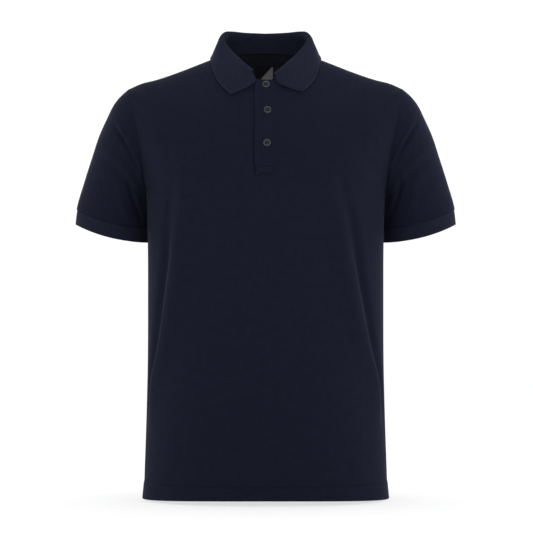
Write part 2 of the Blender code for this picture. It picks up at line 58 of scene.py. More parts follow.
CLOTH = 0.0015  # the walls of the pique, and of the knitted rib
RIB = 0.0020
GAP = 0.0003  # between two pieces at a seam
HEM_Z = -0.7120  # levels of the body, with z = 0 at the neck points, and how far out they are
UNDERARM_Z = -0.215
UNDERARM_X = 0.1925
SHOULDER_Z = -0.0520
SHOULDER_X = 0.2215
NECK_X = 0.077
UNDERARM = 14  # ring numbers at those levels
SHOULDER = 28
NECK = 34
ARMHOLE_DEPTH = {"front": 0.065, "back": 0.060}  # forwards and backwards from the shoulder line
CUT_RIGHT = 0.014  # the cut in the front for the placket, on each side of the centre line
CUT_LEFT = 0.016
STRIP_LAP = 0.0008  # how far the upper strip reaches past the cut
STRIP_WALL = 0.0018
PLACKET_END = 18  # the ring at the foot of the cut
RING_STEP = 120  # rings for each metre down the centre of the front, at the placket

# The side line from the hem to the underarm, the armhole seam above it, and the shoulder seam
SIDE = table(
    "z x",
    (-0.712, 0.197),
    (-0.663, 0.1955),
    (-0.6, 0.1933),
    (-0.5, 0.1908),
    (-0.4, 0.1903),
    (-0.3, 0.1905),
    (-0.215, 0.1925),
)
ARMHOLE = table(
    "z x",
    (-0.215, 0.1925),
    (-0.175, 0.197),
    (-0.134, 0.204),
    (-0.095, 0.2105),
    (-0.052, 0.2215),
)
SHOULDER_SEAM = table(
    "x z",
    (0.077, 0),
    (0.106, -0.0113),
    (0.14, -0.0245),
    (0.178, -0.0373),
    (0.203, -0.0437),
    (0.2215, -0.052),
)

# The centre lines of the front and back, how square each ring is (2 is an ellipse), and how much less
# square it is at its sides than at its centre
CENTRE = table(
    "ring front_y front_z front_square back_y back_z back_square blunt",
    (0, 0.118, -0.7055, 2.5, 0.105, -0.7055, 2.5, 0),
    (4, 0.117, -0.565, 2.45, 0.0955, -0.565, 2.45, 0),
    (8, 0.1165, -0.427, 2.45, 0.0915, -0.425, 2.4, 0),
    (11, 0.1195, -0.325, 2.6, 0.101, -0.322, 2.42, 0),
    (14, 0.122, -0.232, 2.82, 0.111, -0.228, 2.5, 0),
    (18, 0.122, -0.195, 2.78, 0.114, -0.19, 2.5, 0.12),
    (22, 0.1195, -0.162, 2.52, 0.1145, -0.14, 2.44, 0.45),
    (25, 0.115, -0.139, 2.4, 0.111, -0.105, 2.4, 0.8),
    (28, 0.1083, -0.114, 2.4, 0.102, -0.07, 2.4, 0.95),
    (31, 0.0975, -0.084, 2.2, 0.08, -0.03, 2.2, 0.4),
    (34, 0.082, -0.045, 2.1, 0.045, 0.01, 2.1, 0),
)

# The sleeve: its outer and inner lines seen from the front, its depth, how far it dips between those lines,
# and how far its inner line swings back. It starts at the armhole (0), and its cuff is sewn on at 1
SLEEVE = table(
    "along out_x out_z in_x in_z front back dip sway",
    (0, 0.2215, -0.052, 0.1925, -0.215, 0.065, 0.06, 0, 0),
    (0.08, 0.2345, -0.0635, 0.1934, -0.2215, 0.0665, 0.0625, 0, 0.003),
    (0.16, 0.245, -0.0765, 0.1935, -0.2275, 0.067, 0.064, 0.001, 0.0105),
    (0.28, 0.2568, -0.0998, 0.1922, -0.2355, 0.0665, 0.0645, 0.0025, 0.0205),
    (0.41, 0.2684, -0.1255, 0.1908, -0.244, 0.065, 0.0635, 0.004, 0.026),
    (0.6, 0.2815, -0.1645, 0.19, -0.2555, 0.061, 0.06, 0.0055, 0.03),
    (0.8, 0.2945, -0.2052, 0.1898, -0.2665, 0.056, 0.0555, 0.0065, 0.03),
    (1, 0.3062, -0.2465, 0.1898, -0.277, 0.052, 0.052, 0.0072, 0.03),
    (1.12, 0.3092, -0.2708, 0.19, -0.3, 0.0495, 0.0495, 0.0075, 0.03),
)
CUFF_START = 1.002
CUFF_END = 1.12
CUFF_STEP = 0.0012  # how far the sleeve stands out over its cuff
SEAM_START = 0.4 * GAP  # from the armhole seam to the start of the sleeve
SIDE_SEAM = 0.00001  # half the hairline between front and back, too fine for light to show through
SEAM_FADE = 0.35  # where the sleeve no longer follows the curve of the armhole
INNER_LENGTH = 0.085  # of the sleeve along its inner and outer lines
OUTER_LENGTH = 0.215

# The collar from the centre of the back (0) to its front end (1): its fold line, and where the edge of its
# fall lies on the body. belly moves the middle of the fall down and towards the placket
COLLAR = table(
    "along fold_x fold_y fold_z edge_ring edge_turn belly",
    (0, 0, 0.04, 0.043, 32.6, 0, 0),
    (0.2, 0.034, 0.032, 0.0435, 32.65, 0.36, 0),
    (0.36, 0.056, 0.015, 0.0435, 33.1, 0.72, 0),
    (0.48, 0.0655, -0.002, 0.04, 33.58, 1.06, 0),
    (0.6, 0.067, -0.02, 0.026, 33.1, 1.326, 0),
    (0.72, 0.053, -0.043, 0.005, 32.39, 1.518, 0),
    (0.86, 0.033, -0.065, -0.016, 32.01, 1.62, 0.003),
    (1, 0.0155, -0.079, -0.0325, 31.71, 1.693, 0.011),
)
# Its two ends differ, on the left (1) and right (-1)
COLLAR_END = {1: 0.010, -1: 0.015}  # from the centre of the front
FULLNESS = {1: 0.75, -1: 1.0}  # the right end is the rounder
FOLD_END = {1: (-0.0040, -0.0018, -0.0018), -1: (0.0025, 0.0015, 0.0035)}  # each end of the fold line, moved
TIP_LIFT = {1: 0.11, -1: -0.11}  # in rings: the left point sits a little higher
TIP_OPEN = {1: -0.0135, -1: 0.0135}  # in turns: and a little further out
END_ONLY = 6  # the power of the place along the collar that keeps those moves to its ends
UPPER_BELLY = (-1.60, -0.12, -0.30)  # the way that the belly goes, a third down the fall and two thirds down
LOWER_BELLY = (-0.60, -0.25, -0.60)
FOLD_RADIUS = 0.0042
FALL_CLEAR = 0.0008  # between the edge of the fall and the shirt
FALL_BULGE = 0.0012
COLLAR_LIFT = 3 * GAP  # from the neck seam to the foot of the collar

# Steps that are taken to find which way a surface faces: in rings, in metres along a ring, in rings below
# the neck seam, in shares of half the collar, and along and round a sleeve
RING_NEAR = 0.04
ARC_NEAR = 0.0008
RING_BELOW = 0.15
COLLAR_NEAR = 0.02
SLEEVE_NEAR = 0.01
TURN_NEAR = 0.004

# Buttons, each with its name, x and height. The profile is half of their turned section, in shares of
# radius and thickness, from the middle of the top to the middle of the back
BUTTONS = (("top", 0.0006, -0.0531), ("middle", 0.0028, -0.0946), ("bottom", 0.0019, -0.1465))
BUTTON_RADIUS = 0.0058
BUTTON_THICK = 0.0024
BUTTON_LIFT = 0.0007  # over the upper strip
BUTTON_PROFILE = table(
    "radius height",
    (0, 0.4),
    (0.3, 0.41),
    (0.5, 0.45),
    (0.58, 0.55),
    (0.64, 0.76),
    (0.7, 0.92),
    (0.77, 0.99),
    (0.84, 1),
    (0.92, 0.95),
    (0.98, 0.82),
    (1, 0.65),
    (0.99, 0.4),
    (0.95, 0.2),
    (0.88, 0.07),
    (0.7, 0),
    (0, 0),
)
HOLE_RADIUS = 0.0007
HOLE_SPREAD = 0.0012  # from the middle to each hole, across and up
DISH_RADIUS = 0.62  # of the dish in a button's top, as a share of the button's radius; the faces inside it get the darker grey of painted shade
DISH_HEIGHT = 0.42  # where thread lies in the dish, as a share of the button's thickness
BACK_HEIGHT = 0.2  # below this share of the thickness a face is part of the button's back
# The thread through a button: its radius, the places of its three bars in shares of a hole's radius and how
# high each rises in radii, a bar's knots in shares of the holes' spread and how far its ends sink, and a
# leg's knots and width
BUTTON_THREAD = 0.00024
BAR_SHIFTS = (-0.34, 0, 0.34)
BAR_RISE = (1.0, 1.5, 1.0)
BAR_KNOTS = (-1.15, -0.6, 0.6, 1.15)
BAR_SINK = 0.3
LEG_KNOTS = (0.2, 0.6, 1.0)
LEG_WIDTH = 0.62

# The upper strip thins from here to its left side. Its right side is free and stands a little away from the
# front
TAPER_START = 0.0075
TAPER_WALL = 0.0004
FREE_LIFT = 0.0015
FREE_WIDE = 0.0035
# The placket's stitches: where their lines are, across and up
STITCH_RIGHT = -0.0068
STITCH_TOP = -0.0480
BOX_RIGHT = -0.0130
BOX_LEFT = 0.0118
BOX_TOP = -0.1820
BOX_FOOT = -0.1930
# Each row of stitches: from one to the next, a stitch's length, and its thread's radius
PLACKET_STITCH = (0.0030, 0.0024, 0.00022)
HEM_STITCH = (0.0034, 0.0028, 0.00028)
STITCH_KNOTS = (-0.5, -0.3, 0.3, 0.5)  # a stitch's knots along it, in shares of its length
STITCH_LIFT = (-0.4, 0.8, 0.8, -0.4)  # how far they stand out, in shares of its radius
STITCH_SWELL = (0.35, 1, 1, 0.35)  # and how thick it is there
# The buttonholes: how far each runs above and below its button's middle, its half width, and its satin
# stitches
HOLE_ABOVE = 0.0050
HOLE_BELOW = 0.0090
HOLE_HALF = 0.0013
SLOT_HALF = 0.0002
SATIN_PITCH = 0.00042
SATIN_RADIUS = 0.00024
SATIN_KNOTS = (0, 0.25, 0.75, 1)
SATIN_SWELL = (0.7, 1, 1, 0.7)
SATIN_LIFT = (-0.3, 0.7, 0.7, -0.3)
END_BAR_LIFT = (0.2, 1.4, 1.4, 0.2)
# The label, on the inside of the back: rings of its lower and upper edge, and its pale corner's height at
# the middle and slope
LABEL_WIDTH = 0.030
LABEL_X = -0.003
LABEL_FOOT = 30.9
LABEL_TOP = 32.6
LABEL_WALL = 0.0010
LABEL_GAP = 0.0007
CORNER_FOOT = 0.0127
CORNER_SLOPE = 1.34

# ---- Folds, creases and the relief of the sewing ----

# Where the crest of each drape fold crosses the rings, and how strong it is there
FOLDS = table(
    "ring front_right front_left back_right back_left strength",
    (0, 0.176, 0.172, 0.16, 0.164, 0),
    (3, 0.183, 0.179, 0.166, 0.17, 0),
    (5, 0.18, 0.177, 0.166, 0.168, 0.8),
    (7, 0.164, 0.158, 0.158, 0.154, 1),
    (9, 0.152, 0.142, 0.147, 0.142, 1),
    (11, 0.142, 0.128, 0.136, 0.132, 1),
    (12, 0.139, 0.122, 0.131, 0.126, 0.8),
    (14, 0.133, 0.107, 0.121, 0.114, 0.4),
    (17, 0.128, 0.102, 0.117, 0.11, 0.2),
    (20, 0.126, 0.104, 0.116, 0.11, 0),
    (24, 0.13, 0.128, 0.128, 0.128, 0),
    (28, 0.14, 0.14, 0.14, 0.14, 0),
    (31, 0.09, 0.09, 0.09, 0.09, 0),
    (34, 0.04, 0.04, 0.038, 0.038, 0),
)
CREST_HEIGHT = 0.0058
CREST_INSIDE = 0.022  # the width of a crest towards the centre, and away from it
CREST_OUTSIDE = 0.013
TROUGH_DEPTH = 0.0066
TROUGH_WIDTH = 0.0085
TROUGH_OFFSET = 0.019

# Soft ridges (+) and troughs (-) on the front (-1) and back (1): from one place to another, as the distance
# from the centre line (positive to the left) and the height of the ring at the centre line
SOFT = table(
    "face arc_a z_a arc_b z_b height width",
    (-1, -0.175, -0.215, -0.12, -0.175, 0.0012, 0.009),
    (-1, -0.17, -0.235, -0.105, -0.205, -0.001, 0.01),
    (-1, 0.178, -0.212, 0.128, -0.168, 0.0013, 0.009),
    (-1, 0.172, -0.238, 0.1, -0.215, -0.001, 0.01),
    (-1, -0.03, -0.25, -0.06, -0.42, 0.0006, 0.016),
    (-1, 0.045, -0.27, 0.075, -0.45, 0.0006, 0.018),
    (-1, -0.12, -0.6, -0.15, -0.69, -0.001, 0.016),
    (-1, -0.02, -0.04, -0.02, -0.2, -0.001, 0.006),
    (-1, -0.0164, -0.03, -0.0164, -0.203, -0.0026, 0.0014),
    (-1, -0.07, -0.706, -0.044, -0.688, 0.0015, 0.004),
    (-1, -0.046, -0.704, -0.026, -0.684, -0.0016, 0.0045),
    (-1, -0.022, -0.705, 0.002, -0.69, 0.0012, 0.004),
    (-1, 0.06, -0.704, 0.082, -0.686, 0.0013, 0.005),
    (-1, 0.084, -0.703, 0.1, -0.684, -0.0013, 0.0045),
    (1, -0.03, -0.705, -0.05, -0.688, 0.0008, 0.006),
    (1, 0.04, -0.704, 0.055, -0.688, -0.0008, 0.006),
    (-1, 0.11, -0.61, 0.135, -0.69, -0.0009, 0.015),
    (1, -0.175, -0.205, -0.115, -0.165, 0.0014, 0.01),
    (1, 0.172, -0.208, 0.118, -0.16, 0.0012, 0.01),
    (1, -0.15, -0.235, -0.08, -0.215, -0.0012, 0.012),
    (1, 0.155, -0.24, 0.07, -0.222, -0.001, 0.012),
    (1, -0.06, -0.35, -0.085, -0.52, 0.0009, 0.018),
    (1, 0.055, -0.33, 0.09, -0.54, 0.001, 0.02),
)

# The hem: how high it is turned up, how far its second layer stands out, and the groove that its stitches
# pull in
HEM_HIGH = 0.0280
HEM_RINGS = 2  # the hem lies between these first rings
HEM_STEP = 0.0007
HEM_FLARE = 0.0018
HEM_GROOVE = 0.0006
GROOVE_WIDTH = 0.0014
# The grooves that the placket's stitches pull in: their width, and their depths at its sides and round its
# box
STITCH_GROOVE = 0.0012
SIDE_GROOVE = 0.0004
BOX_GROOVE = 0.0022

# Creases that fan out from the underarm on the front (-1) and back (1) of both sleeves: their place along
# the sleeve at its inner and outer line
CREASES = table(
    "face at_inner at_outer height width",
    (-1, 0.24, 0.48, 0.0014, 0.008),
    (-1, 0.46, 0.62, 0.0006, 0.01),
    (1, 0.22, 0.44, 0.0014, 0.008),
    (1, 0.44, 0.58, 0.0007, 0.01),
)
CREASE_TROUGH = 0.011  # from a crease's ridge to the trough below it
TROUGH_SHARE = 0.8  # how deep the trough is, for a ridge of 1
CREASE_FADE = 1.5  # the power that ends the creases at the top and bottom lines of a sleeve
CREASE_START = 0.08  # where they are full, along the sleeve
# Sharper marks on the left (1) and right (-1) sleeves: from one place to another, as the place along the
# sleeve and the turn from its top line to its underarm line
SLEEVE_MARKS = table(
    "side face along_a turn_a along_b turn_b height width",
    (-1, -1, 0.2, 0.12, 0.035, 0.345, 0.0022, 0.0042),
    (-1, -1, 0.228, 0.13, 0.06, 0.35, -0.0036, 0.0036),
    (-1, -1, 0.38, 0.29, 0.98, 0.44, -0.005, 0.0085),
    (-1, -1, 0.52, 0.23, 0.93, 0.33, 0.002, 0.012),
    (1, -1, 0.19, 0.118, 0.03, 0.335, 0.0024, 0.0042),
    (1, -1, 0.22, 0.128, 0.055, 0.342, -0.0038, 0.0036),
    (1, -1, 0.35, 0.3, 0.96, 0.445, -0.0045, 0.008),
    (1, -1, 0.48, 0.22, 0.9, 0.3, 0.0018, 0.012),
    (-1, 1, 0.19, 0.13, 0.04, 0.34, 0.002, 0.0045),
    (-1, 1, 0.225, 0.145, 0.065, 0.345, -0.003, 0.004),
    (-1, 1, 0.42, 0.29, 0.9, 0.42, -0.0036, 0.009),
    (1, 1, 0.18, 0.125, 0.03, 0.33, 0.0022, 0.0045),
    (1, 1, 0.212, 0.14, 0.055, 0.336, -0.0032, 0.004),
    (1, 1, 0.36, 0.28, 0.85, 0.41, -0.0032, 0.009),
)
SLEEVE_ROUND = 0.42  # of the cloth round a sleeve

# ---- What each piece was cut or knitted to: its width and length, and its area, in metres ----

CUFF_CUT = (0.34, 0.027, 0.0088)
UNDER_CUT = (0.030, 0.158)
UPPER_CUT = (0.032, 0.162)
LABEL_CUT = (0.030, 0.030)

# ---- Mesh counts ----

RING_POINTS = 160  # along half a ring
ARMHOLE_POINTS = 200
PANEL_SIDE = 72  # columns on each side of a panel's centre
PANEL_MIDDLE = 8
NEAR_WIDE = 0.012  # finer columns beside the placket, and how many they are
NEAR_COLUMNS = 16
ROWS_BELOW = 10  # rows for each ring below the underarm, above it, and at the hem
ROWS_ABOVE = 3
ROWS_AT_HEM = 36
SLEEVE_COLUMNS = 112
SLEEVE_ROWS = 64
CUFF_ROWS = 10
COLLAR_STATIONS = 90
COLLAR_STEPS = (4, 4, 6, 6, 6, 6, 8)  # mesh steps between the knots of its section
COLLAR_WELT = (0.0002, 0.0006, 0.0008)  # how far the rows before the collar's edge stand out
PLACKET_ROWS = 180
UNDER_COLUMNS = 13
UPPER_COLUMNS = 41
LABEL_POINTS = 16
BUTTON_SIDES = 64
PIN_SIDES = 24
THREAD_SIDES = 6
HOLE_POINTS = 8
PATH_STEP = 0.004  # between the points that a row of stitches follows
PATH_LEAST = 4
HEM_POINTS = 121
HEM_HALVINGS = 18  # how often a span of rings is halved to find a height, at the hem and over the whole front
HALVINGS = 24
CLOTH_SHARP = math.radians(50)  # edges that turn more than this stay sharp
BUTTON_SHARP = math.radians(40)
EDGE_ROUND = 0.0006  # the radius of a rib's and a strip's cut edges

# ---- Colours and looks ----

NAVY = (0.0096, 0.0109, 0.0218)
NAVY_RIB = (0.0120, 0.0134, 0.0256)
REVERSE_FACE_PAINTED_LIGHT = (0.0170, 0.0180, 0.0260)  # of the pique's inner face: paler and less blue than the outer face, partly the plain reverse of the knit and partly painted light that lifts the shaded inside of the shirt
THREAD = (0.0045, 0.0050, 0.0100)
THREAD_PALE = (0.026, 0.028, 0.040)
THREAD_HOLE = (0.0170, 0.0185, 0.0290)
# The buttons' two greys: the rim's paler grey is a painted highlight, and the dish's darker grey is painted
# shade
RIM_PAINTED_HIGHLIGHT_GREY = (0.042, 0.043, 0.054)
DISH_PAINTED_SHADE_GREY = (0.012, 0.012, 0.016)
LABEL_GROUND = (0.014, 0.014, 0.017)
LABEL_CORNER = (0.26, 0.26, 0.27)
WHITE = (1.0, 1.0, 1.0)
FLOOR_TONE = 0.33
CLOTH_GLOSS = 0.03
THREAD_GLOSS = 0.08
BUTTON_GLOSS = 0.20
SHEEN = 0.060
SHEEN_ROUGH = 0.22
SHEEN_TINT = (0.75, 0.80, 1.0, 1)
PIQUE_PITCH = (0.0019, 0.0016)  # the size of a stitch or a weave, across and up
RIB_PITCH = (0.0016, 0.0012)
LABEL_PITCH = (0.0006, 0.0005)
KNIT_DEPTH = 0.00035
LABEL_DEPTH = 0.0001
KNIT_PAINTED_RELIEF_SHADE = 0.35  # how much the tone of a knit follows its height: painted shade in its pits and painted light on its raised cells
RIDGE_SHARE = 0.75  # of a rib's height, the rest is its loops
EDGE_HIGHLIGHT_WIDE = 0.0024  # a painted highlight along the knitted collar's edge, which is also tighter: its width, and how much paler it makes the edge
EDGE_PAINTED_HIGHLIGHT = 0.5
CUFF_UP = 0.2  # metres of flat rib for each whole length of sleeve, in the cuff's knit
COLLAR_HALF = 0.2  # metres of flat rib from the centre of the back to an end, in the collar's knit
FLOOR_GLOW = 0.68
WALL_GLOW = 0.81
GLOW_NEAR = 1.5  # how far from the neck the glow starts to rise, and where it is the wall's
GLOW_FAR = 4.0


# ---- The forms that the solids share ----


def read(rows, column, at):
    """A column of a table at a value of its first column, on a smooth curve through its rows."""
    x = next(iter(rows.values()))
    y = rows[column]
    slope = np.gradient(y, x)
    k = int(np.clip(np.searchsorted(x, at) - 1, 0, len(x) - 2))
    step = x[k + 1] - x[k]
    s = min(max((at - x[k]) / step, 0), 1)
    start = (1 + 2 * s) * (1 - s) ** 2 * y[k] + s * (1 - s) ** 2 * step * slope[k]
    return start + s * s * (3 - 2 * s) * y[k + 1] + s * s * (s - 1) * step * slope[k + 1]


def unit(v):
    """Vectors made one long."""
    v = np.asarray(v, float)
    return v / np.linalg.norm(v, axis=-1, keepdims=True)


def ring_side(ring):
    """Where a ring meets the side: its x and z, and the share (0 to 1) of the armhole's depth that is open
    there."""
    if ring <= UNDERARM:
        z = HEM_Z + (UNDERARM_Z - HEM_Z) * ring / UNDERARM
        return read(SIDE, "x", z), z, 0.0
    if ring <= SHOULDER:
        turn = math.pi * (ring - UNDERARM) / (SHOULDER - UNDERARM)
        z = (UNDERARM_Z + SHOULDER_Z) / 2 - (SHOULDER_Z - UNDERARM_Z) / 2 * math.cos(turn)
        return read(ARMHOLE, "x", z), z, math.sin(turn)
    x = SHOULDER_X + (NECK_X - SHOULDER_X) * (ring - SHOULDER) / (NECK - SHOULDER)
    return x, read(SHOULDER_SEAM, "z", x), 0.0


@functools.lru_cache(maxsize=None)
def half_ring(face, ring):
    """Points along half a ring, from the centre to the side edge, and how far along it each one lies."""
    side_x, side_z, opened = ring_side(ring)
    depth = read(CENTRE, face + "_y", ring)
    centre_z = read(CENTRE, face + "_z", ring)
    square = read(CENTRE, face + "_square", ring)
    ends = square - read(CENTRE, "blunt", ring)
    edge = max(opened * ARMHOLE_DEPTH[face], SIDE_SEAM)
    full_x = side_x / (1 - (edge / depth) ** ends) ** (1 / square)
    x = side_x * np.sin(np.linspace(0, math.pi / 2, RING_POINTS))
    y = depth * np.maximum(1 - (x / full_x) ** square, 0) ** (1 / ends)
    z = side_z + (centre_z - side_z) * (y**2 - edge**2) / (depth**2 - edge**2)
    path = np.stack([x, -y if face == "front" else y, z], 1)
    along = np.append(0, np.cumsum(np.linalg.norm(np.diff(path, axis=0), axis=1)))
    return path, along


def half_length(face, ring):
    """The length of half a ring."""
    return half_ring(face, ring)[1][-1]


def bare(face, ring, arcs):
    """Points on a panel without its folds. An arc is a distance from the centre, positive to the left."""
    path, along = half_ring(face, ring)
    arcs = np.asarray(arcs, float)
    points = np.stack([np.interp(abs(arcs), along, path[:, k]) for k in range(3)], -1)
    points[..., 0] *= np.sign(arcs)
    return points


def facing(surface, face, ring, arcs):
    """The outward directions of a surface of the body at some places on a ring."""
    arcs = np.asarray(arcs, float)
    length = half_length(face, ring)
    low, high = max(ring - RING_NEAR, 0), min(ring + RING_NEAR, NECK)
    below = surface(face, low, arcs / length * half_length(face, low))
    above = surface(face, high, arcs / length * half_length(face, high))
    right = surface(face, ring, np.maximum(arcs - ARC_NEAR, -length))
    left = surface(face, ring, np.minimum(arcs + ARC_NEAR, length))
    return unit(np.cross(left - right, above - below)) * (1 if face == "front" else -1)


def crest_arc(face, ring, side):
    """How far from the centre line the crest of a drape fold lies."""
    path, along = half_ring(face, ring)
    name = face + ("_left" if side > 0 else "_right")
    return np.interp(read(FOLDS, name, ring), path[:, 0], along)


def soft_mark(across, up, start, end, height, width):
    """The height of one soft ridge or trough that runs between two places and fades at both ends."""
    run = np.array(end) - start
    share = ((across - start[0]) * run[0] + (up - start[1]) * run[1]) / (run @ run)
    held = np.clip(share, 0, 1)
    away = np.hypot(across - start[0] - held * run[0], up - start[1] - held * run[1])
    fade = np.clip(4 * held * (1 - held), 0, 1) ** 0.5
    return height * fade * np.exp(-((away / width) ** 2))


def placket_lines():
    """The lines of the placket's stitches and how deep each is pulled in: down both sides of the upper
    strip, and a box at its foot."""
    box = [(BOX_RIGHT, BOX_TOP), (BOX_LEFT, BOX_TOP), (BOX_LEFT, BOX_FOOT), (BOX_RIGHT, BOX_FOOT)]
    return [
        ((STITCH_RIGHT, STITCH_TOP), (STITCH_RIGHT, BOX_TOP), SIDE_GROOVE),
        ((BOX_LEFT, STITCH_TOP), (BOX_LEFT, BOX_TOP), SIDE_GROOVE),
        *((start, end, BOX_GROOVE) for start, end in zip(box, box[1:] + box[:1])),
    ]


def relief(face, ring, arcs):
    """How far the cloth stands out from its bare form: drape folds, soft marks and the hem."""
    raised = np.zeros_like(arcs)
    strength = max(read(FOLDS, "strength", ring), 0)
    for side in (1, -1):
        past = side * arcs - crest_arc(face, ring, side)
        crest = CREST_HEIGHT * np.exp(-((past / np.where(past < 0, CREST_INSIDE, CREST_OUTSIDE)) ** 2))
        trough = TROUGH_DEPTH * np.exp(-(((past - TROUGH_OFFSET) / TROUGH_WIDTH) ** 2))
        raised += strength * np.where(side * arcs > 0, crest - trough, 0)
    up = read(CENTRE, face + "_z", ring)
    for which, arc_a, z_a, arc_b, z_b, height, width in zip(*SOFT.values()):
        if which == (-1 if face == "front" else 1):
            raised += soft_mark(arcs, up, (arc_a, z_a), (arc_b, z_b), height, width)
    if face == "front":
        for start, end, depth in placket_lines():
            raised -= soft_mark(arcs, up, start, end, depth, STITCH_GROOVE)
    above_stitch = bare(face, ring, arcs)[..., 2] - HEM_Z - HEM_HIGH
    raised += HEM_STEP * (1 - np.tanh(above_stitch / GROOVE_WIDTH)) / 2
    raised += HEM_FLARE * np.maximum(-above_stitch, 0) / HEM_HIGH
    raised -= HEM_GROOVE * np.exp(-((above_stitch / GROOVE_WIDTH) ** 2))
    return raised


def panel(face, ring, arcs):
    """Points on a panel's outer surface."""
    arcs = np.asarray(arcs, float)
    return bare(face, ring, arcs) + relief(face, ring, arcs)[..., None] * facing(bare, face, ring, arcs)


def off_panel(face, ring, arcs, out):
    """Points at a distance outside a panel's outer surface, or inside it where the distance is negative."""
    return panel(face, ring, arcs) + np.expand_dims(out, -1) * facing(panel, face, ring, arcs)


def on_body(ring, turn, side, out=0.0):
    """A point by its ring and its turn (0 centre back, 1 side or shoulder seam, 2 centre front)."""
    face = "back" if turn <= 1 else "front"
    share = turn if face == "back" else 2 - turn
    return off_panel(face, ring, np.array([side * share * half_length(face, ring)]), out)[0]


ARMHOLE_LEVELS = np.linspace(UNDERARM_Z, SHOULDER_Z, ARMHOLE_POINTS)
ARMHOLE_SIDES = np.array([read(ARMHOLE, "x", level) for level in ARMHOLE_LEVELS])


def top_share(turns):
    """How near each turn is to a sleeve's top line: 1 there and 0 at its underarm line."""
    return (1 + np.cos(2 * math.pi * np.asarray(turns, float))) / 2


def sleeve(side, along, turns):
    """Points on a sleeve's outer surface. Its turns: 0 top, 0.25 front, 0.5 underarm, 0.75 back."""
    angle = 2 * math.pi * np.asarray(turns, float)
    share = top_share(turns)
    out_x, out_z, in_x, in_z = (read(SLEEVE, name, along) for name in ("out_x", "out_z", "in_x", "in_z"))
    front, back, dip, sway = (read(SLEEVE, name, along) for name in ("front", "back", "dip", "sway"))
    x = in_x + (out_x - in_x) * share
    z = in_z + (out_z - in_z) * share - dip * np.sin(angle) ** 2
    y = -np.sin(angle) * np.where(np.sin(angle) > 0, front, back) + sway * (1 - share) ** 2
    chord_x = UNDERARM_X + (SHOULDER_X - UNDERARM_X) * share
    seam_z = UNDERARM_Z + (SHOULDER_Z - UNDERARM_Z) * share
    seam_x = np.interp(seam_z, ARMHOLE_LEVELS, ARMHOLE_SIDES)
    x = x + (seam_x - chord_x) * max(1 - along / SEAM_FADE, 0) ** 2
    return np.stack([side * x, y, z], -1)


def sleeve_length(turns):
    """How long the sleeve is from its armhole to its cuff, along each turn."""
    return INNER_LENGTH + (OUTER_LENGTH - INNER_LENGTH) * top_share(turns)


def creased_sleeve(side, along, turns):
    """Points on a sleeve's outer surface with its creases."""
    turns = np.asarray(turns, float)
    share = top_share(turns)
    length = sleeve_length(turns)
    raised = np.zeros_like(turns)
    for face, at_inner, at_outer, height, width in zip(*CREASES.values()):
        past = (along - at_inner - (at_outer - at_inner) * share) * length
        fade = np.maximum(-face * np.sin(2 * math.pi * turns), 0) ** CREASE_FADE
        fade = fade * min(along / CREASE_START, 1)
        trough = TROUGH_SHARE * np.exp(-(((past - CREASE_TROUGH) / width) ** 2))
        raised += height * fade * (np.exp(-((past / width) ** 2)) - trough)
    for which, face, along_a, turn_a, along_b, turn_b, height, width in zip(*SLEEVE_MARKS.values()):
        if which != side:
            continue
        from_top = turns if face < 0 else 1 - turns
        start = (turn_a * SLEEVE_ROUND, along_a * sleeve_length(turn_a))
        end = (turn_b * SLEEVE_ROUND, along_b * sleeve_length(turn_b))
        raised += soft_mark(from_top * SLEEVE_ROUND, along * length, start, end, height, width)
    return sleeve(side, along, turns) + raised[:, None] * sleeve_facing(sleeve, side, along, turns)


def sleeve_facing(surface, side, along, turns):
    """The outward directions of a sleeve's surface."""
    turns = np.asarray(turns, float)
    before, after = max(along - SLEEVE_NEAR, 0), min(along + SLEEVE_NEAR, CUFF_END)
    lengthwise = surface(side, after, turns) - surface(side, before, turns)
    round_it = surface(side, along, turns + TURN_NEAR) - surface(side, along, turns - TURN_NEAR)
    return unit(np.cross(round_it, lengthwise)) * side


def armhole_facing(side, turns):
    """The outward directions of the body's panels along the armhole seam, at the same turns as the
    sleeve's."""
    found = []
    for turn in turns:
        half_turn = min(turn, 1 - turn)
        ring = SHOULDER - 2 * half_turn * (SHOULDER - UNDERARM)
        face = "front" if turn <= 0.5 else "back"
        edge = side * half_length(face, ring)
        found.append(facing(panel, face, ring, np.array([edge]))[0])
    return np.array(found)


def fold_line(along):
    """The collar's fold line at a place along it, before its ends are moved."""
    return np.array([read(COLLAR, name, min(max(along, 0), 1)) for name in ("fold_x", "fold_y", "fold_z")])


def collar_section(along, side):
    """The outer foot of the stand at one place, and knots across the collar's visible skin: up the inside
    of the stand, over the fold and down to the fall's edge."""
    end_turn = 2 - COLLAR_END[side] / half_length("front", NECK)
    turn = along * end_turn
    seam = on_body(NECK, turn, side)
    up = unit(seam - on_body(NECK - RING_BELOW, turn, side))
    base = seam + COLLAR_LIFT * up
    mirror = np.array([side, 1, 1])
    fold = mirror * (fold_line(along) + along**END_ONLY * np.array(FOLD_END[side]))
    edge_ring = read(COLLAR, "edge_ring", along) + TIP_LIFT[side] * along**END_ONLY
    edge_turn = read(COLLAR, "edge_turn", along) + TIP_OPEN[side] * along**END_ONLY
    edge = on_body(edge_ring, edge_turn, side, RIB + FALL_CLEAR)
    line = unit((fold_line(along + COLLAR_NEAR) - fold_line(along - COLLAR_NEAR)) * mirror)
    if along == 0:
        line = np.array([side, 0, 0], float)
    rise = unit(fold - (base + edge) / 2)
    rise = unit(rise - line * (rise @ line))
    out = unit(np.cross(line, rise)) * side
    if out @ (edge - base) < 0:
        out = -out
    inside = base - RIB * out
    turn_in = fold - FOLD_RADIUS * (out + rise)
    turn_out = fold + FOLD_RADIUS * (out - rise)
    belly = FULLNESS[side] * read(COLLAR, "belly", along)
    fall = edge - turn_out
    upper = turn_out + fall / 3 + FALL_BULGE * out + belly * mirror * UPPER_BELLY
    lower = turn_out + fall * 2 / 3 + FALL_BULGE * out + belly * mirror * LOWER_BELLY
    return base, np.array([inside, (inside + turn_in) / 2, turn_in, fold, turn_out, upper, lower, edge])


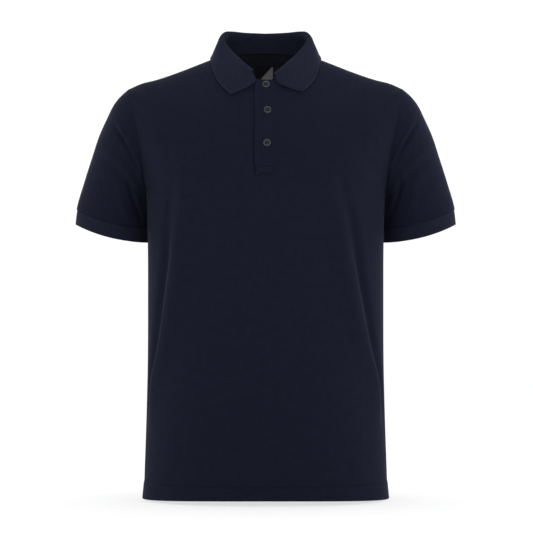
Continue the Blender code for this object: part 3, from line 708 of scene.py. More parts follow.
def across(knots):
    """Points across the collar on a smooth curve through its knots."""
    gaps = np.linalg.norm(np.diff(knots, axis=0), axis=1) ** 0.5
    at = np.append(0, np.cumsum(gaps))
    rows = {"at": at, "x": knots[:, 0], "y": knots[:, 1], "z": knots[:, 2]}
    places = [at[0]]
    for k, steps in enumerate(COLLAR_STEPS):
        places.extend(np.linspace(at[k], at[k + 1], steps + 1)[1:])
    return np.array([[read(rows, name, t) for name in "xyz"] for t in places])


def grid_facing(grid):
    """The directions square to a grid of points, along its rows crossed with along its columns."""
    return unit(np.cross(np.gradient(grid, axis=1), np.gradient(grid, axis=0)))


# ---- Making meshes ----


def new_object(name, data):
    """An object that has been put in the scene."""
    made = bpy.data.objects.new(name, data)
    bpy.context.scene.collection.objects.link(made)
    return made


def add_piece(name, points, faces, material, spread=None):
    """Makes a mesh piece that rides on the shirt. spread gives each point its place on the flat cloth, in
    metres."""
    mesh = bpy.data.meshes.new(name)
    mesh.from_pydata(np.asarray(points).tolist(), [], [list(f) for f in faces])
    mesh.update()
    if spread is not None:
        corners = np.empty(len(mesh.loops), int)
        mesh.loops.foreach_get("vertex_index", corners)
        layer = mesh.uv_layers.new(name="knit")
        layer.data.foreach_set("uv", np.asarray(spread, float)[corners].ravel())
    mesh.materials.append(material)
    made = new_object(name, mesh)
    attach(made, "root")
    return made


def inside_out(points, quads):
    """True where a closed mesh of quads faces inwards."""
    p = np.asarray(points)[np.asarray(quads)]
    half = np.einsum("ij,ij->i", p[:, 0], np.cross(p[:, 1], p[:, 2]))
    other = np.einsum("ij,ij->i", p[:, 0], np.cross(p[:, 2], p[:, 3]))
    return half.sum() + other.sum() < 0


def shell(name, outer, inner, spread, material, slot, closed=False, keep=None, reverse=None):
    """Makes a closed cloth piece from grids of its outer and inner points. closed joins the last column to
    the first, keep marks the cells of the grid that the piece has, and reverse is its inner face's
    material."""
    rows, columns = outer.shape[:2]
    index = np.arange(rows * columns).reshape(rows, columns)
    if closed:
        index = np.concatenate([index, index[:, :1]], 1)
    cells = np.stack([index[:-1, :-1], index[:-1, 1:], index[1:, 1:], index[1:, :-1]], -1)
    cells = cells[keep] if keep is not None else cells.reshape(-1, 4)
    count = rows * columns
    start, end = cells.ravel(), np.roll(cells, -1, 1).ravel()
    rim = ~np.isin(start * count + end, end * count + start)
    sides = np.stack([end[rim], start[rim], start[rim] + count, end[rim] + count], 1)
    quads = np.concatenate([cells, cells[:, ::-1] + count, sides])
    points = np.concatenate([outer.reshape(-1, 3), inner.reshape(-1, 3)])
    if inside_out(points, quads):
        quads = quads[:, ::-1]
    used = np.unique(quads)
    renumber = np.zeros(len(points), int)
    renumber[used] = np.arange(len(used))
    flat = np.concatenate([spread.reshape(-1, 2)] * 2)
    made = add_piece(name, points[used], renumber[quads], material, flat[used])
    if reverse:
        made.data.materials.append(reverse)
        is_inner = (np.arange(len(quads)) >= len(cells)) & (np.arange(len(quads)) < 2 * len(cells))
        made.data.polygons.foreach_set("material_index", is_inner.astype(np.int32))
    made.data.shade_smooth()
    made.data.set_sharp_from_angle(angle=CLOTH_SHARP)
    return made


def stands_for(node):
    """Puts a cloth piece in the place of its solid, by hiding the solid."""
    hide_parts(node)


def round_edges(piece):
    """Rounds the cut edges of a cloth piece."""
    bevel = piece.modifiers.new("rounded edges", "BEVEL")
    bevel.width = EDGE_ROUND
    bevel.segments = 2
    bevel.limit_method = "ANGLE"
    bevel.angle_limit = CLOTH_SHARP


def thread(centre, normal, radius, swell):
    """Points and faces of one round thread through a few points. swell is its radius at each, as a share."""
    centre = np.asarray(centre, float)
    tangent = unit(centre[-1] - centre[0])
    across_it = unit(np.cross(tangent, normal))
    out = unit(np.cross(across_it, tangent))
    angles = 2 * math.pi * np.arange(THREAD_SIDES) / THREAD_SIDES
    points, faces = [], []
    for hub, share in zip(centre, swell):
        points.extend(hub + share * radius * (np.cos(a) * across_it + np.sin(a) * out) for a in angles)
    last = THREAD_SIDES * (len(centre) - 1)
    for start in range(0, last, THREAD_SIDES):
        for k in range(THREAD_SIDES):
            a, b = start + k, start + (k + 1) % THREAD_SIDES
            faces.append((a, a + THREAD_SIDES, b + THREAD_SIDES, b))
    faces.append(tuple(range(THREAD_SIDES)))
    faces.append(tuple(last + k for k in reversed(range(THREAD_SIDES))))
    return points, faces


def between(at, places, points):
    """Points on the lines that join some points at known places."""
    return np.stack([np.interp(at, places, points[:, k]) for k in range(3)], -1)


def stitch_row(path, normals, stitch):
    """The threads of a row of stitches along a path: each is short and dips into the cloth at both ends."""
    path, normals = np.asarray(path), np.asarray(normals)
    pitch, length, radius = stitch
    at = np.append(0, np.cumsum(np.linalg.norm(np.diff(path, axis=0), axis=1)))
    lift = np.array(STITCH_LIFT)[:, None] * radius
    made = []
    for middle in np.arange(pitch / 2, at[-1], pitch):
        spots = np.clip(middle + np.array(STITCH_KNOTS) * length, 0, at[-1])
        normal = unit(between(middle, at, normals))
        made.append(thread(between(spots, at, path) + lift * normal, normal, radius, STITCH_SWELL))
    return made


def sewing(name, threads, material):
    """One piece made of many threads."""
    points, faces = [], []
    for more, their_faces in threads:
        faces.extend(tuple(k + len(points) for k in face) for face in their_faces)
        points.extend(more)
    made = add_piece(name, points, faces, material)
    made.data.shade_smooth()
    return made


# ---- Materials ----


class Nodes:
    """Adds and joins the nodes of one material."""

    def __init__(self, name):
        self.material = bpy.data.materials.new(name)
        self.material.use_nodes = True
        self.tree = self.material.node_tree
        self.shader = self.tree.nodes["Principled BSDF"]

    def set(self, target, value):
        """Joins a socket to an input, or sets an input that is the same all over."""
        if hasattr(value, "is_output"):
            self.tree.links.new(value, target)
        else:
            target.default_value = value

    def add(self, kind, **settings):
        """A node, with its properties set by name and its inputs by number."""
        node = self.tree.nodes.new("ShaderNode" + kind)
        for key, value in settings.items():
            if key.startswith("in_"):
                self.set(node.inputs[int(key[3:])], value)
            else:
                setattr(node, key, value)
        return node

    def math(self, operation, a, b=0.0):
        """The result of a maths node on two numbers or sockets."""
        return self.add("Math", operation=operation, in_0=a, in_1=b).outputs[0]

    def line(self, value, factor, start):
        """A value times a factor, plus a start."""
        return self.math("ADD", self.math("MULTIPLY", value, factor), start)

    def noise(self, place, scale, detail, rough=0.5):
        """Soft unevenness, finer where scale is larger."""
        return self.add("TexNoise", in_0=place, in_2=scale, in_3=detail, in_4=rough).outputs[0]

    def scaled(self, colour, tone):
        """A colour made darker or paler by a tone."""
        return self.add("VectorMath", operation="SCALE", in_0=colour, in_3=tone).outputs[0]

    def bump(self, height, strength, depth):
        """Directions that make the surface look raised."""
        return self.add("Bump", in_0=strength, in_1=depth, in_3=height).outputs[0]

    def finish(self, inputs):
        """The material, with inputs of its shader set or joined by name."""
        for name, value in inputs.items():
            self.set(self.shader.inputs[name], value)
        return self.material


def knit_coordinates(nodes, pitch):
    """Angles that turn once for each stitch across and up the cloth."""
    spread = nodes.add("UVMap", uv_map="knit").outputs[0]
    parts = nodes.add("SeparateXYZ", in_0=spread)
    u = nodes.math("MULTIPLY", parts.outputs[0], 2 * math.pi / pitch[0])
    v = nodes.math("MULTIPLY", parts.outputs[1], 2 * math.pi / pitch[1])
    return spread, u, v


def cells(nodes, u, v):
    """The height of small raised cells in staggered rows, from 0 to 1."""
    return nodes.line(nodes.math("MULTIPLY", nodes.math("SINE", u), nodes.math("SINE", v)), 0.5, 0.5)


def finish_cloth(nodes, colour, height, spread):
    """Colours a knit by its height, which paints shade in its pits and light on its cells, and by soft
    unevenness, and raises it.
    """
    uneven = nodes.noise(spread, scale=90.0, detail=3.0, rough=0.6)
    fibre = nodes.noise(spread, scale=1600.0, detail=2.0, rough=0.6)
    tone = nodes.line(height, factor=KNIT_PAINTED_RELIEF_SHADE, start=1 - KNIT_PAINTED_RELIEF_SHADE / 2)
    tone = nodes.math("MULTIPLY", tone, nodes.line(uneven, factor=0.50, start=0.75))
    tone = nodes.math("MULTIPLY", tone, nodes.line(fibre, factor=0.30, start=0.85))
    raised = nodes.math("ADD", height, nodes.math("MULTIPLY", fibre, 0.5))
    return nodes.finish(
        {
            "Base Color": nodes.scaled(colour, tone),
            "Roughness": nodes.line(fibre, factor=0.15, start=0.80),
            "Normal": nodes.bump(raised, strength=0.6, depth=KNIT_DEPTH),
            "Specular IOR Level": CLOTH_GLOSS,
            "Sheen Weight": SHEEN,
            "Sheen Roughness": SHEEN_ROUGH,
            "Sheen Tint": SHEEN_TINT,
        }
    )


def pique_cloth(name, colour):
    """A pique knit: small raised cells in staggered rows, with a pit between each four."""
    nodes = Nodes(name)
    spread, u, v = knit_coordinates(nodes, PIQUE_PITCH)
    return finish_cloth(nodes, colour, cells(nodes, u, v), spread)


def rib_cloth(name, colour):
    """A flat rib knit: fine ridges that run across the piece, with a small loop at each stitch and a painted
    highlight that makes its edge paler."""
    nodes = Nodes(name)
    spread, u, v = knit_coordinates(nodes, RIB_PITCH)
    ridge, loop = (nodes.math("ABSOLUTE", nodes.math("SINE", nodes.math("MULTIPLY", a, 0.5))) for a in (u, v))
    loops = nodes.math("MULTIPLY", loop, 1 - RIDGE_SHARE)
    height = nodes.math("ADD", nodes.math("MULTIPLY", ridge, RIDGE_SHARE), loops)
    # A band along the collar's edge is painted paler: a painted highlight
    from_edge = nodes.math("ABSOLUTE", nodes.add("SeparateXYZ", in_0=spread).outputs[1])
    paler = nodes.line(nodes.math("LESS_THAN", from_edge, EDGE_HIGHLIGHT_WIDE), factor=EDGE_PAINTED_HIGHLIGHT, start=1.0)
    return finish_cloth(nodes, nodes.scaled(colour, paler), height, spread)


def thread_material(name, colour):
    """Sewing thread: fine, slightly glossy and uneven in tone."""
    nodes = Nodes(name)
    grain = nodes.noise(nodes.add("TexCoord").outputs["Object"], scale=2500.0, detail=2.0)
    colour = nodes.scaled(colour, nodes.line(grain, factor=0.4, start=0.8))
    return nodes.finish({"Base Color": colour, "Roughness": 0.6, "Specular IOR Level": THREAD_GLOSS})


def button_material(name, colour):
    """Moulded plastic with a faint cloudy pearl."""
    nodes = Nodes(name)
    place = nodes.add("TexCoord").outputs["Object"]
    cloud = nodes.noise(place, scale=260.0, detail=3.0)
    scratch = nodes.noise(place, scale=1800.0, detail=2.0)
    colour = nodes.scaled(colour, nodes.line(cloud, factor=0.7, start=0.65))
    rough = nodes.line(scratch, factor=0.15, start=0.28)
    return nodes.finish({"Base Color": colour, "Roughness": rough, "Specular IOR Level": BUTTON_GLOSS})


def label_material(name):
    """A plain woven label: fine threads both ways, with one pale corner."""
    nodes = Nodes(name)
    spread, u, v = knit_coordinates(nodes, LABEL_PITCH)
    height = cells(nodes, u, v)
    place = nodes.add("SeparateXYZ", in_0=spread)
    slope = nodes.math("MULTIPLY", nodes.math("SUBTRACT", place.outputs[0], LABEL_X), CORNER_SLOPE)
    corner = nodes.math("LESS_THAN", nodes.math("SUBTRACT", place.outputs[1], slope), CORNER_FOOT)
    colour = nodes.add("Mix", data_type="RGBA", in_0=corner, in_6=(*LABEL_GROUND, 1), in_7=(*LABEL_CORNER, 1))
    return nodes.finish(
        {
            # The weave's tone follows its height: painted shade between its threads
            "Base Color": nodes.scaled(colour.outputs[2], nodes.line(height, factor=0.3, start=0.8)),
            "Normal": nodes.bump(height, strength=0.5, depth=LABEL_DEPTH),
            "Roughness": 0.7,
            "Specular IOR Level": CLOTH_GLOSS,
        }
    )


def floor_material():
    """A pale studio floor with a very faint mottle. It glows a little, and more so towards the far wall."""
    nodes = Nodes("pale_floor")
    place = nodes.add("TexCoord").outputs["Object"]
    mottle = nodes.noise(place, scale=3.0, detail=2.0)
    away = nodes.add("VectorMath", operation="LENGTH", in_0=place).outputs["Value"]
    glow = nodes.add("MapRange", in_0=away, in_1=GLOW_NEAR, in_2=GLOW_FAR, in_3=FLOOR_GLOW, in_4=WALL_GLOW)
    return nodes.finish(
        {
            "Base Color": nodes.scaled(WHITE, nodes.line(mottle, factor=0.02, start=FLOOR_TONE)),
            "Emission Color": (*WHITE, 1),
            "Emission Strength": glow.outputs[0],
            "Roughness": 0.9,
            "Specular IOR Level": 0.0,
        }
    )


PIQUE = pique_cloth("pique_knit", NAVY)
# The inner face's paler tone is partly painted light in the shaded inside of the shirt
PIQUE_INNER_PAINTED_LIGHT = pique_cloth("pique_reverse", REVERSE_FACE_PAINTED_LIGHT)
RIB_KNIT = rib_cloth("rib_knit", NAVY_RIB)
SEWING = thread_material("sewing_thread", THREAD)
BUTTONHOLE_THREAD = thread_material("buttonhole_thread", THREAD_HOLE)
BUTTON_SEWING = thread_material("button_thread", THREAD_PALE)
# One plastic in two greys: a painted highlight on the rim and painted shade in the dish
BUTTON_RIM_PAINTED_HIGHLIGHT = button_material("button_rim", RIM_PAINTED_HIGHLIGHT_GREY)
BUTTON_DISH_PAINTED_SHADE = button_material("button_dish", DISH_PAINTED_SHADE_GREY)
WOVEN = label_material("woven_label")

# ---- The front and back ----


def ring_rows():
    """The rings of a panel's rows, from the hem to the neckline."""
    hem = np.linspace(0, HEM_RINGS, HEM_RINGS * ROWS_AT_HEM + 1)
    below = np.linspace(HEM_RINGS, UNDERARM, (UNDERARM - HEM_RINGS) * ROWS_BELOW + 1)[1:]
    above = np.linspace(UNDERARM, NECK, (NECK - UNDERARM) * ROWS_ABOVE + 1)[1:]
    return np.concatenate([hem, below, above])


def make_panel(face):
    """Makes the front, with its notch for the placket, or the back."""
    outer, inner, spread = [], [], []
    rings = ring_rows()
    up = 0.0
    for ring in rings:
        length = half_length(face, ring)
        far = np.linspace(-length, -CUT_RIGHT - NEAR_WIDE, PANEL_SIDE - NEAR_COLUMNS + 1)[:-1]
        near = np.linspace(-CUT_RIGHT - NEAR_WIDE, -CUT_RIGHT, NEAR_COLUMNS + 1)[:-1]
        middle = np.linspace(-CUT_RIGHT, CUT_LEFT, PANEL_MIDDLE + 1)
        left = np.linspace(CUT_LEFT, length, PANEL_SIDE + 1)[1:]
        arcs = np.concatenate([far, near, middle, left])
        points = panel(face, ring, arcs)
        if outer:
            up += np.linalg.norm(points - outer[-1], axis=1).mean()
        outer.append(points)
        inner.append(off_panel(face, ring, arcs, -CLOTH))
        spread.append(np.stack([arcs, np.full_like(arcs, up)], 1))
    keep = np.ones((len(rings) - 1, len(arcs) - 1), bool)
    if face == "front":
        keep[rings[:-1] >= PLACKET_END, PANEL_SIDE : PANEL_SIDE + PANEL_MIDDLE] = False
    grids = [np.array(grid) for grid in (outer, inner, spread)]
    made = shell(face + "_cloth", *grids, PIQUE, "pique_navy", keep=keep, reverse=PIQUE_INNER_PAINTED_LIGHT)
    stands_for(face)


make_panel("front")
make_panel("back")

# ---- Sleeves and cuffs ----


def make_sleeve(name, side):
    """Makes a sleeve, from the armhole to the cuff."""
    turns = np.arange(SLEEVE_COLUMNS) / SLEEVE_COLUMNS
    outer, inner, spread = [], [], []
    up = 0.0
    for along in np.linspace(0, 1, SLEEVE_ROWS):
        points = creased_sleeve(side, along, turns)
        normals = sleeve_facing(creased_sleeve, side, along, turns)
        if along == 0:
            top = top_share(turns)[:, None]
            seam = np.roll(points, -1, 0) - np.roll(points, 1, 0)
            body = armhole_facing(side, turns)
            leaving = unit(np.cross(normals, seam)) * side
            points = points + SEAM_START * unit(leaving * top + body * (1 - top))
            normals = unit(body * top + normals * (1 - top))
        else:
            up += np.linalg.norm(points - outer[-1], axis=1).mean()
        outer.append(points)
        inner.append(points - CLOTH * normals)
        around = SLEEVE_ROUND * (turns - 0.5)
        spread.append(np.stack([around, np.full_like(turns, up)], 1))
    grids = [np.array(grid) for grid in (outer, inner, spread)]
    made = shell("sleeve_" + name + "_cloth", *grids, PIQUE, "pique_navy", closed=True)
    stands_for("sleeve_" + name)


def make_cuff(name, side):
    """Makes a rib cuff."""
    turns = np.arange(SLEEVE_COLUMNS) / SLEEVE_COLUMNS
    outer, inner, spread = [], [], []
    for along in np.linspace(CUFF_START, CUFF_END, CUFF_ROWS):
        points = sleeve(side, along, turns)
        normals = sleeve_facing(sleeve, side, along, turns)
        outer.append(points - CUFF_STEP * normals)
        inner.append(points - (CUFF_STEP + RIB) * normals)
        spread.append(np.stack([CUFF_CUT[0] * turns, np.full_like(turns, CUFF_UP * along)], 1))
    grids = [np.array(grid) for grid in (outer, inner, spread)]
    made = shell("cuff_" + name + "_rib", *grids, RIB_KNIT, "rib_navy", closed=True)
    round_edges(made)
    stands_for("cuff_" + name)


for name, side in (("left", 1), ("right", -1)):
    make_sleeve(name, side)
    make_cuff(name, side)

# ---- Collar ----


def make_collar():
    """Makes the rib collar: its stand, its fold and its fall."""
    feet, sections = [], []
    for along in np.linspace(-1, 1, 2 * COLLAR_STATIONS - 1):
        foot, knots = collar_section(abs(along), 1 if along >= 0 else -1)
        feet.append(foot)
        sections.append(across(knots))
    visible = np.array(sections)
    welt = slice(-len(COLLAR_WELT) - 1, -1)
    visible[:, welt] -= np.array(COLLAR_WELT)[:, None] * grid_facing(visible)[:, welt]
    hidden = visible + RIB * grid_facing(visible)
    hidden[:, 0] = feet
    width = np.linalg.norm(np.diff(visible, axis=1), axis=2)
    up = np.concatenate([np.zeros((len(visible), 1)), np.cumsum(width, axis=1)], 1)
    up -= up[:, -1:]
    along = np.repeat(np.linspace(-COLLAR_HALF, COLLAR_HALF, len(visible))[:, None], visible.shape[1], 1)
    made = shell("collar_rib", visible, hidden, np.stack([along, up], 2), RIB_KNIT, "rib_navy")
    round_edges(made)
    stands_for("collar")


make_collar()

# ---- Placket and label ----


def make_strip(name, node, cut, material, slot, face, rings, arcs, out, wall):
    """Makes a strip that lies on the front or back, moved out from its points. wall may change across it."""
    out = np.broadcast_to(out, np.shape(arcs))
    outer = np.array([off_panel(face, ring, arcs, out + wall) for ring in rings])
    inner = np.array([off_panel(face, ring, arcs, out) for ring in rings])
    up = np.append(0, np.cumsum(np.linalg.norm(np.diff(outer[:, 0], axis=0), axis=1)))
    spread = np.stack(np.meshgrid(arcs, up), -1)
    made = shell(name, outer, inner, spread, material, slot)
    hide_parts(node)
    return made


def upper_wall(arcs):
    """The thickness of the upper strip: full where the buttons are, and thin at its left side, where it
    runs into the front."""
    share = np.clip((np.asarray(arcs) - TAPER_START) / (CUT_LEFT + STRIP_LAP - TAPER_START), 0, 1)
    return STRIP_WALL + (TAPER_WALL - STRIP_WALL) * share * share * (3 - 2 * share)


def ring_at(face, level, arc_at, top, halvings):
    """The ring that is at a height, below a top ring. arc_at gives the place on each ring that is looked
    at."""
    low, high = 0.0, float(top)
    for _ in range(halvings):
        ring = (low + high) / 2
        if bare(face, ring, [arc_at(ring)])[0, 2] < level:
            low = ring
        else:
            high = ring
    return ring


def front_ring(arc, level):
    """The ring of the front that is at a height, at a distance from the centre line."""
    return ring_at("front", level, lambda ring: arc, NECK, HALVINGS)


def strip_path(places):
    """Points on the upper strip and their outward directions, from places as (arc, height)."""
    path, normals = [], []
    for arc, level in places:
        ring = front_ring(arc, level)
        path.append(off_panel("front", ring, [arc], GAP + upper_wall([arc]))[0])
        normals.append(facing(panel, "front", ring, [arc])[0])
    return path, normals


def placket_sewing():
    """Makes the stitches of the placket."""
    threads = []
    for start, end, _ in placket_lines():
        count = max(int(np.hypot(*np.subtract(end, start)) / PATH_STEP), PATH_LEAST)
        threads.extend(stitch_row(*strip_path(np.linspace(start, end, count + 1)), PLACKET_STITCH))
    sewing("placket_stitches", threads, SEWING)


def buttonhole(name, x, level):
    """Makes the satin stitches round an upright buttonhole, with a bar at each end."""
    top, foot = level + HOLE_ABOVE, level - HOLE_BELOW
    heights = np.linspace(foot - SATIN_PITCH, top + SATIN_PITCH, HOLE_POINTS)
    path, normals = (np.array(found) for found in strip_path([(x, height) for height in heights]))
    threads = []

    def bar(height, start, end, lift):
        """One thread across the buttonhole, between two distances from its middle."""
        normal = unit(between(height, heights, normals))
        shares = np.array(SATIN_KNOTS)[:, None]
        centre = between(height, heights, path) + (start + (end - start) * shares) * np.array([1, 0, 0])
        centre = centre + SATIN_RADIUS * np.array(lift)[:, None] * normal
        threads.append(thread(centre, normal, SATIN_RADIUS, SATIN_SWELL))

    for height in np.arange(foot, top, SATIN_PITCH):
        for side in (-1, 1):
            bar(height, side * HOLE_HALF, side * SLOT_HALF, SATIN_LIFT)
    for end in (foot, top):
        for k in (-1, 0, 1):
            bar(end + k * SATIN_PITCH, -HOLE_HALF, HOLE_HALF, END_BAR_LIFT)
    sewing("buttonhole_" + name, threads, BUTTONHOLE_THREAD)


def turned_mesh(profile, steps):
    """A closed mesh turned from a profile of radius and height, in shares of the button's sizes."""
    radii, heights = profile["radius"] * BUTTON_RADIUS, profile["height"] * BUTTON_THICK
    angles = 2 * math.pi * np.arange(steps) / steps
    points = [(0, 0, heights[0])]
    for radius, height in zip(radii[1:-1], heights[1:-1]):
        points.extend((radius * math.cos(a), radius * math.sin(a), height) for a in angles)
    points.append((0, 0, heights[-1]))
    rings = len(radii) - 2
    faces = []
    for k in range(steps):
        after = (k + 1) % steps
        faces.append((0, 1 + k, 1 + after))
        for ring in range(rings - 1):
            a, b = 1 + ring * steps + k, 1 + ring * steps + after
            faces.append((a, a + steps, b + steps, b))
        last = 1 + (rings - 1) * steps
        faces.append((last + after, last + k, len(points) - 1))
    mesh = bpy.data.meshes.new("turned")
    mesh.from_pydata(points, [], faces)
    return mesh


def drilled(blank):
    """The mesh of a button blank with its four holes."""
    button = new_object("blank", blank)
    pins = bmesh.new()
    for x in (-HOLE_SPREAD, HOLE_SPREAD):
        for y in (-HOLE_SPREAD, HOLE_SPREAD):
            sizes = {"radius1": HOLE_RADIUS, "radius2": HOLE_RADIUS, "depth": 4 * BUTTON_THICK}
            made = bmesh.ops.create_cone(pins, cap_ends=True, segments=PIN_SIDES, **sizes)
            bmesh.ops.translate(pins, verts=made["verts"], vec=(x, y, 0))
    pin_mesh = bpy.data.meshes.new("pins")
    pins.to_mesh(pin_mesh)
    pins.free()
    cutter = new_object("cutter", pin_mesh)
    cut = button.modifiers.new("drill", "BOOLEAN")
    cut.operation = "DIFFERENCE"
    cut.object = cutter
    settled = button.evaluated_get(bpy.context.evaluated_depsgraph_get())
    mesh = bpy.data.meshes.new_from_object(settled)
    for spare in (button, cutter):
        bpy.data.objects.remove(spare, do_unlink=True)
    return mesh


def button_thread(frame_matrix):
    """The threads that hold a button: three bars across its dish between two holes, and a leg down each
    hole."""
    surface = BUTTON_THICK * DISH_HEIGHT
    sunk = surface - BAR_SINK * BUTTON_THREAD
    threads = []
    for y in (-HOLE_SPREAD, HOLE_SPREAD):
        for shift, rise in zip(BAR_SHIFTS, BAR_RISE):
            high = surface + rise * BUTTON_THREAD
            heights = (sunk, high, high, sunk)
            bar = [(share * HOLE_SPREAD, y + shift * HOLE_RADIUS, z) for share, z in zip(BAR_KNOTS, heights)]
            threads.append((bar, (0, 0, 1), BUTTON_THREAD))
        for x in (-HOLE_SPREAD, HOLE_SPREAD):
            leg = [(x, y, -2 * GAP)] + [(x, y, share * surface) for share in LEG_KNOTS]
            threads.append((leg, (1, 0, 0), LEG_WIDTH * HOLE_RADIUS))
    placed = []
    for centre, normal, radius in threads:
        centre = [frame_matrix @ Vector(point) for point in centre]
        placed.append(thread(centre, frame_matrix.to_3x3() @ Vector(normal), radius, (1, 1, 1, 1)))
    return placed


def make_button(name, x, level, mesh):
    """Makes a button, sewn on over the upper strip at a height."""
    ring = front_ring(x, level)
    seat = Vector(off_panel("front", ring, [x], STRIP_WALL + BUTTON_LIFT)[0])
    turn = Vector(facing(panel, "front", ring, [x])[0]).to_track_quat("Z", "Y")
    made = new_object("button_" + name + "_turned", mesh.copy())
    made.data.transform(Matrix.LocRotScale(seat, turn, None))
    made.data.materials.clear()
    made.data.materials.append(BUTTON_RIM_PAINTED_HIGHLIGHT)
    made.data.materials.append(BUTTON_DISH_PAINTED_SHADE)
    # Faces in the dish get the darker grey, which is painted shade; the rest get the rim's paler grey, a
    # painted highlight
    middles = np.array([face.center for face in mesh.polygons])
    near_middle = np.hypot(middles[:, 0], middles[:, 1]) < DISH_RADIUS * BUTTON_RADIUS
    in_painted_shade_dish = near_middle & (middles[:, 2] > BACK_HEIGHT * BUTTON_THICK)
    made.data.polygons.foreach_set("material_index", in_painted_shade_dish.astype(np.int32))
    made.data.shade_smooth()
    made.data.set_sharp_from_angle(angle=BUTTON_SHARP)
    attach(made, "root")
    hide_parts("button_" + name)
    threads = button_thread(Matrix.LocRotScale(seat, turn, None))
    sewing("button_" + name + "_thread", threads, BUTTON_SEWING)


placket_rings = np.linspace(PLACKET_END, NECK, PLACKET_ROWS)
under_rings = placket_rings.copy()
under_rings[0] += RING_STEP * GAP
under_arcs = np.linspace(-CUT_RIGHT + GAP, CUT_LEFT - GAP, UNDER_COLUMNS)
under = ("placket_under_cloth", "placket_under", UNDER_CUT, PIQUE, "pique_navy")
make_strip(*under, "front", under_rings, under_arcs, -CLOTH, CLOTH)
upper_rings = placket_rings.copy()
upper_rings[0] -= RING_STEP * STRIP_LAP
upper_arcs = np.linspace(-CUT_RIGHT - STRIP_LAP, CUT_LEFT + STRIP_LAP, UPPER_COLUMNS)
wall = upper_wall(upper_arcs)
lift = GAP + FREE_LIFT * np.exp(-(upper_arcs - upper_arcs[0]) / FREE_WIDE)
upper = ("placket_upper_cloth", "placket_upper", UPPER_CUT, PIQUE, "pique_navy")
round_edges(make_strip(*upper, "front", upper_rings, upper_arcs, lift, wall))
placket_sewing()
blank = drilled(turned_mesh(BUTTON_PROFILE, BUTTON_SIDES))
for name, x, level in BUTTONS:
    buttonhole(name, x, level)
    make_button(name, x, level, blank)

label_rings = np.linspace(LABEL_FOOT, LABEL_TOP, LABEL_POINTS)
label_arcs = LABEL_X + np.linspace(-LABEL_WIDTH / 2, LABEL_WIDTH / 2, LABEL_POINTS)
label_out = -CLOTH - LABEL_GAP - LABEL_WALL
label = ("neck_label_woven", "neck_label", LABEL_CUT, WOVEN, "label_grey")
make_strip(*label, "back", label_rings, label_arcs, label_out, LABEL_WALL)

# ---- Hem sewing ----


def hem_place(face, share):
    """The ring and the distance from the centre line of the hem's stitches, at a share of their half
    length."""
    level = HEM_Z + HEM_HIGH
    ring = ring_at(face, level, lambda ring: share * half_length(face, ring), HEM_RINGS, HEM_HALVINGS)
    return ring, share * half_length(face, ring)


def hem_sewing():
    """Makes the row of stitches that holds the hem, all round the shirt."""
    threads = []
    for face in ("front", "back"):
        path, normals = [], []
        for share in np.linspace(-1, 1, HEM_POINTS):
            ring, arc = hem_place(face, share)
            path.append(panel(face, ring, [arc])[0])
            normals.append(facing(panel, face, ring, [arc])[0])
        threads.extend(stitch_row(path, normals, HEM_STITCH))
    sewing("hem_stitches", threads, SEWING)


hem_sewing()

# ---- Floor, light and camera ----

FLOOR_Z = HEM_Z - 0.0015
FLOOR_START = -4.5  # where the floor starts and ends along y, and its half width
FLOOR_END = 3.85
FLOOR_SIDE = 9.6
FLOOR_BEND = 1.45  # the radius of its curve up into the wall
BEND_POINTS = 12
WALL_HEIGHT = 8.4
WORLD_LIGHT = 0.42
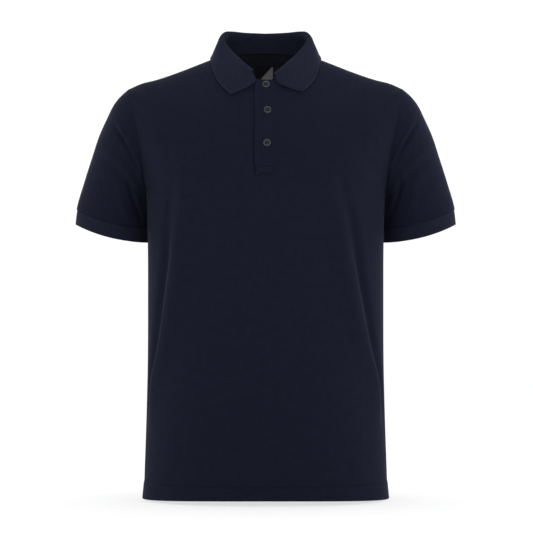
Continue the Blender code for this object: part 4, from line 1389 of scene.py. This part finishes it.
# Each light's name, place, the point that it looks at, size, power in watts and spread in degrees
LIGHTS = [
    ("top_light", (0.0, 0.1, 1.8), (0.0, 0.0, -0.2), 1.4, 22.0, 180.0),
    ("front_light", (0.0, -2.3, 0.2), (0.0, 0.0, -0.24), 0.5, 0.52, 34.0),
    ("neck_light", (0.0, -1.2, 0.9), (0.0, 0.05, -0.03), 0.3, 0.025, 14.0),
    ("left_light", (1.7, -1.2, 0.2), (0.0, 0.0, -0.3), 1.0, 4.0, 180.0),
]
for side in (-1, 1):
    LIGHTS.append(("side_light", (side * 2.2, 0.3, -0.2), (0.0, 0.0, -0.3), 1.4, 32.0, 180.0))
    LIGHTS.append(("back_light", (side * 1.5, 1.3, 0.4), (0.0, 0.0, -0.3), 1.0, 3.0, 180.0))
CAMERA_X = 0.0013
CAMERA_DISTANCE = 3.2
CAMERA_Z = -0.339
SENSOR = 36.0
FRAME_WIDTH = 533
SCALE = 0.00162  # metres of the shirt for each pixel of a frame that wide


def make_backdrop():
    """A pale floor that curves up into a wall behind the shirt."""
    turn = np.linspace(0, math.pi / 2, BEND_POINTS)
    profile = [(FLOOR_START, 0.0)]
    profile += [(FLOOR_END + FLOOR_BEND * math.sin(a), FLOOR_BEND * (1 - math.cos(a))) for a in turn]
    profile += [(FLOOR_END + FLOOR_BEND, WALL_HEIGHT)]
    points = [(x, y, FLOOR_Z + z) for y, z in profile for x in (-FLOOR_SIDE, FLOOR_SIDE)]
    faces = [(2 * k, 2 * k + 1, 2 * k + 3, 2 * k + 2) for k in range(len(profile) - 1)]
    mesh = bpy.data.meshes.new("backdrop")
    mesh.from_pydata(points, [], faces)
    mesh.materials.append(floor_material())
    mesh.shade_smooth()
    made = new_object("backdrop", mesh)


def soft_light(name, place, target, size, power, spread):
    """A square light that looks at a point. spread is the angle that it shines over, in degrees."""
    data = bpy.data.lights.new(name, "AREA")
    data.size = size
    data.spread = math.radians(spread)
    data.energy = power
    made = new_object(name, data)
    made.location = place
    made.rotation_euler = (Vector(target) - Vector(place)).to_track_quat("-Z", "Y").to_euler()


make_backdrop()
scene = bpy.context.scene
world = bpy.data.worlds.new("studio")
world.use_nodes = True
world.node_tree.nodes["Background"].inputs[0].default_value = (*WHITE, 1)
world.node_tree.nodes["Background"].inputs[1].default_value = WORLD_LIGHT
scene.world = world
scene.view_settings.view_transform = "Standard"
for light in LIGHTS:
    soft_light(*light)

camera_data = bpy.data.cameras.new("camera")
camera_data.sensor_width = SENSOR
camera_data.lens = SENSOR * CAMERA_DISTANCE / (FRAME_WIDTH * SCALE)
camera = new_object("camera", camera_data)
camera.location = (CAMERA_X, -CAMERA_DISTANCE, CAMERA_Z)
camera.rotation_euler = (math.pi / 2, 0, 0)
scene.camera = camera
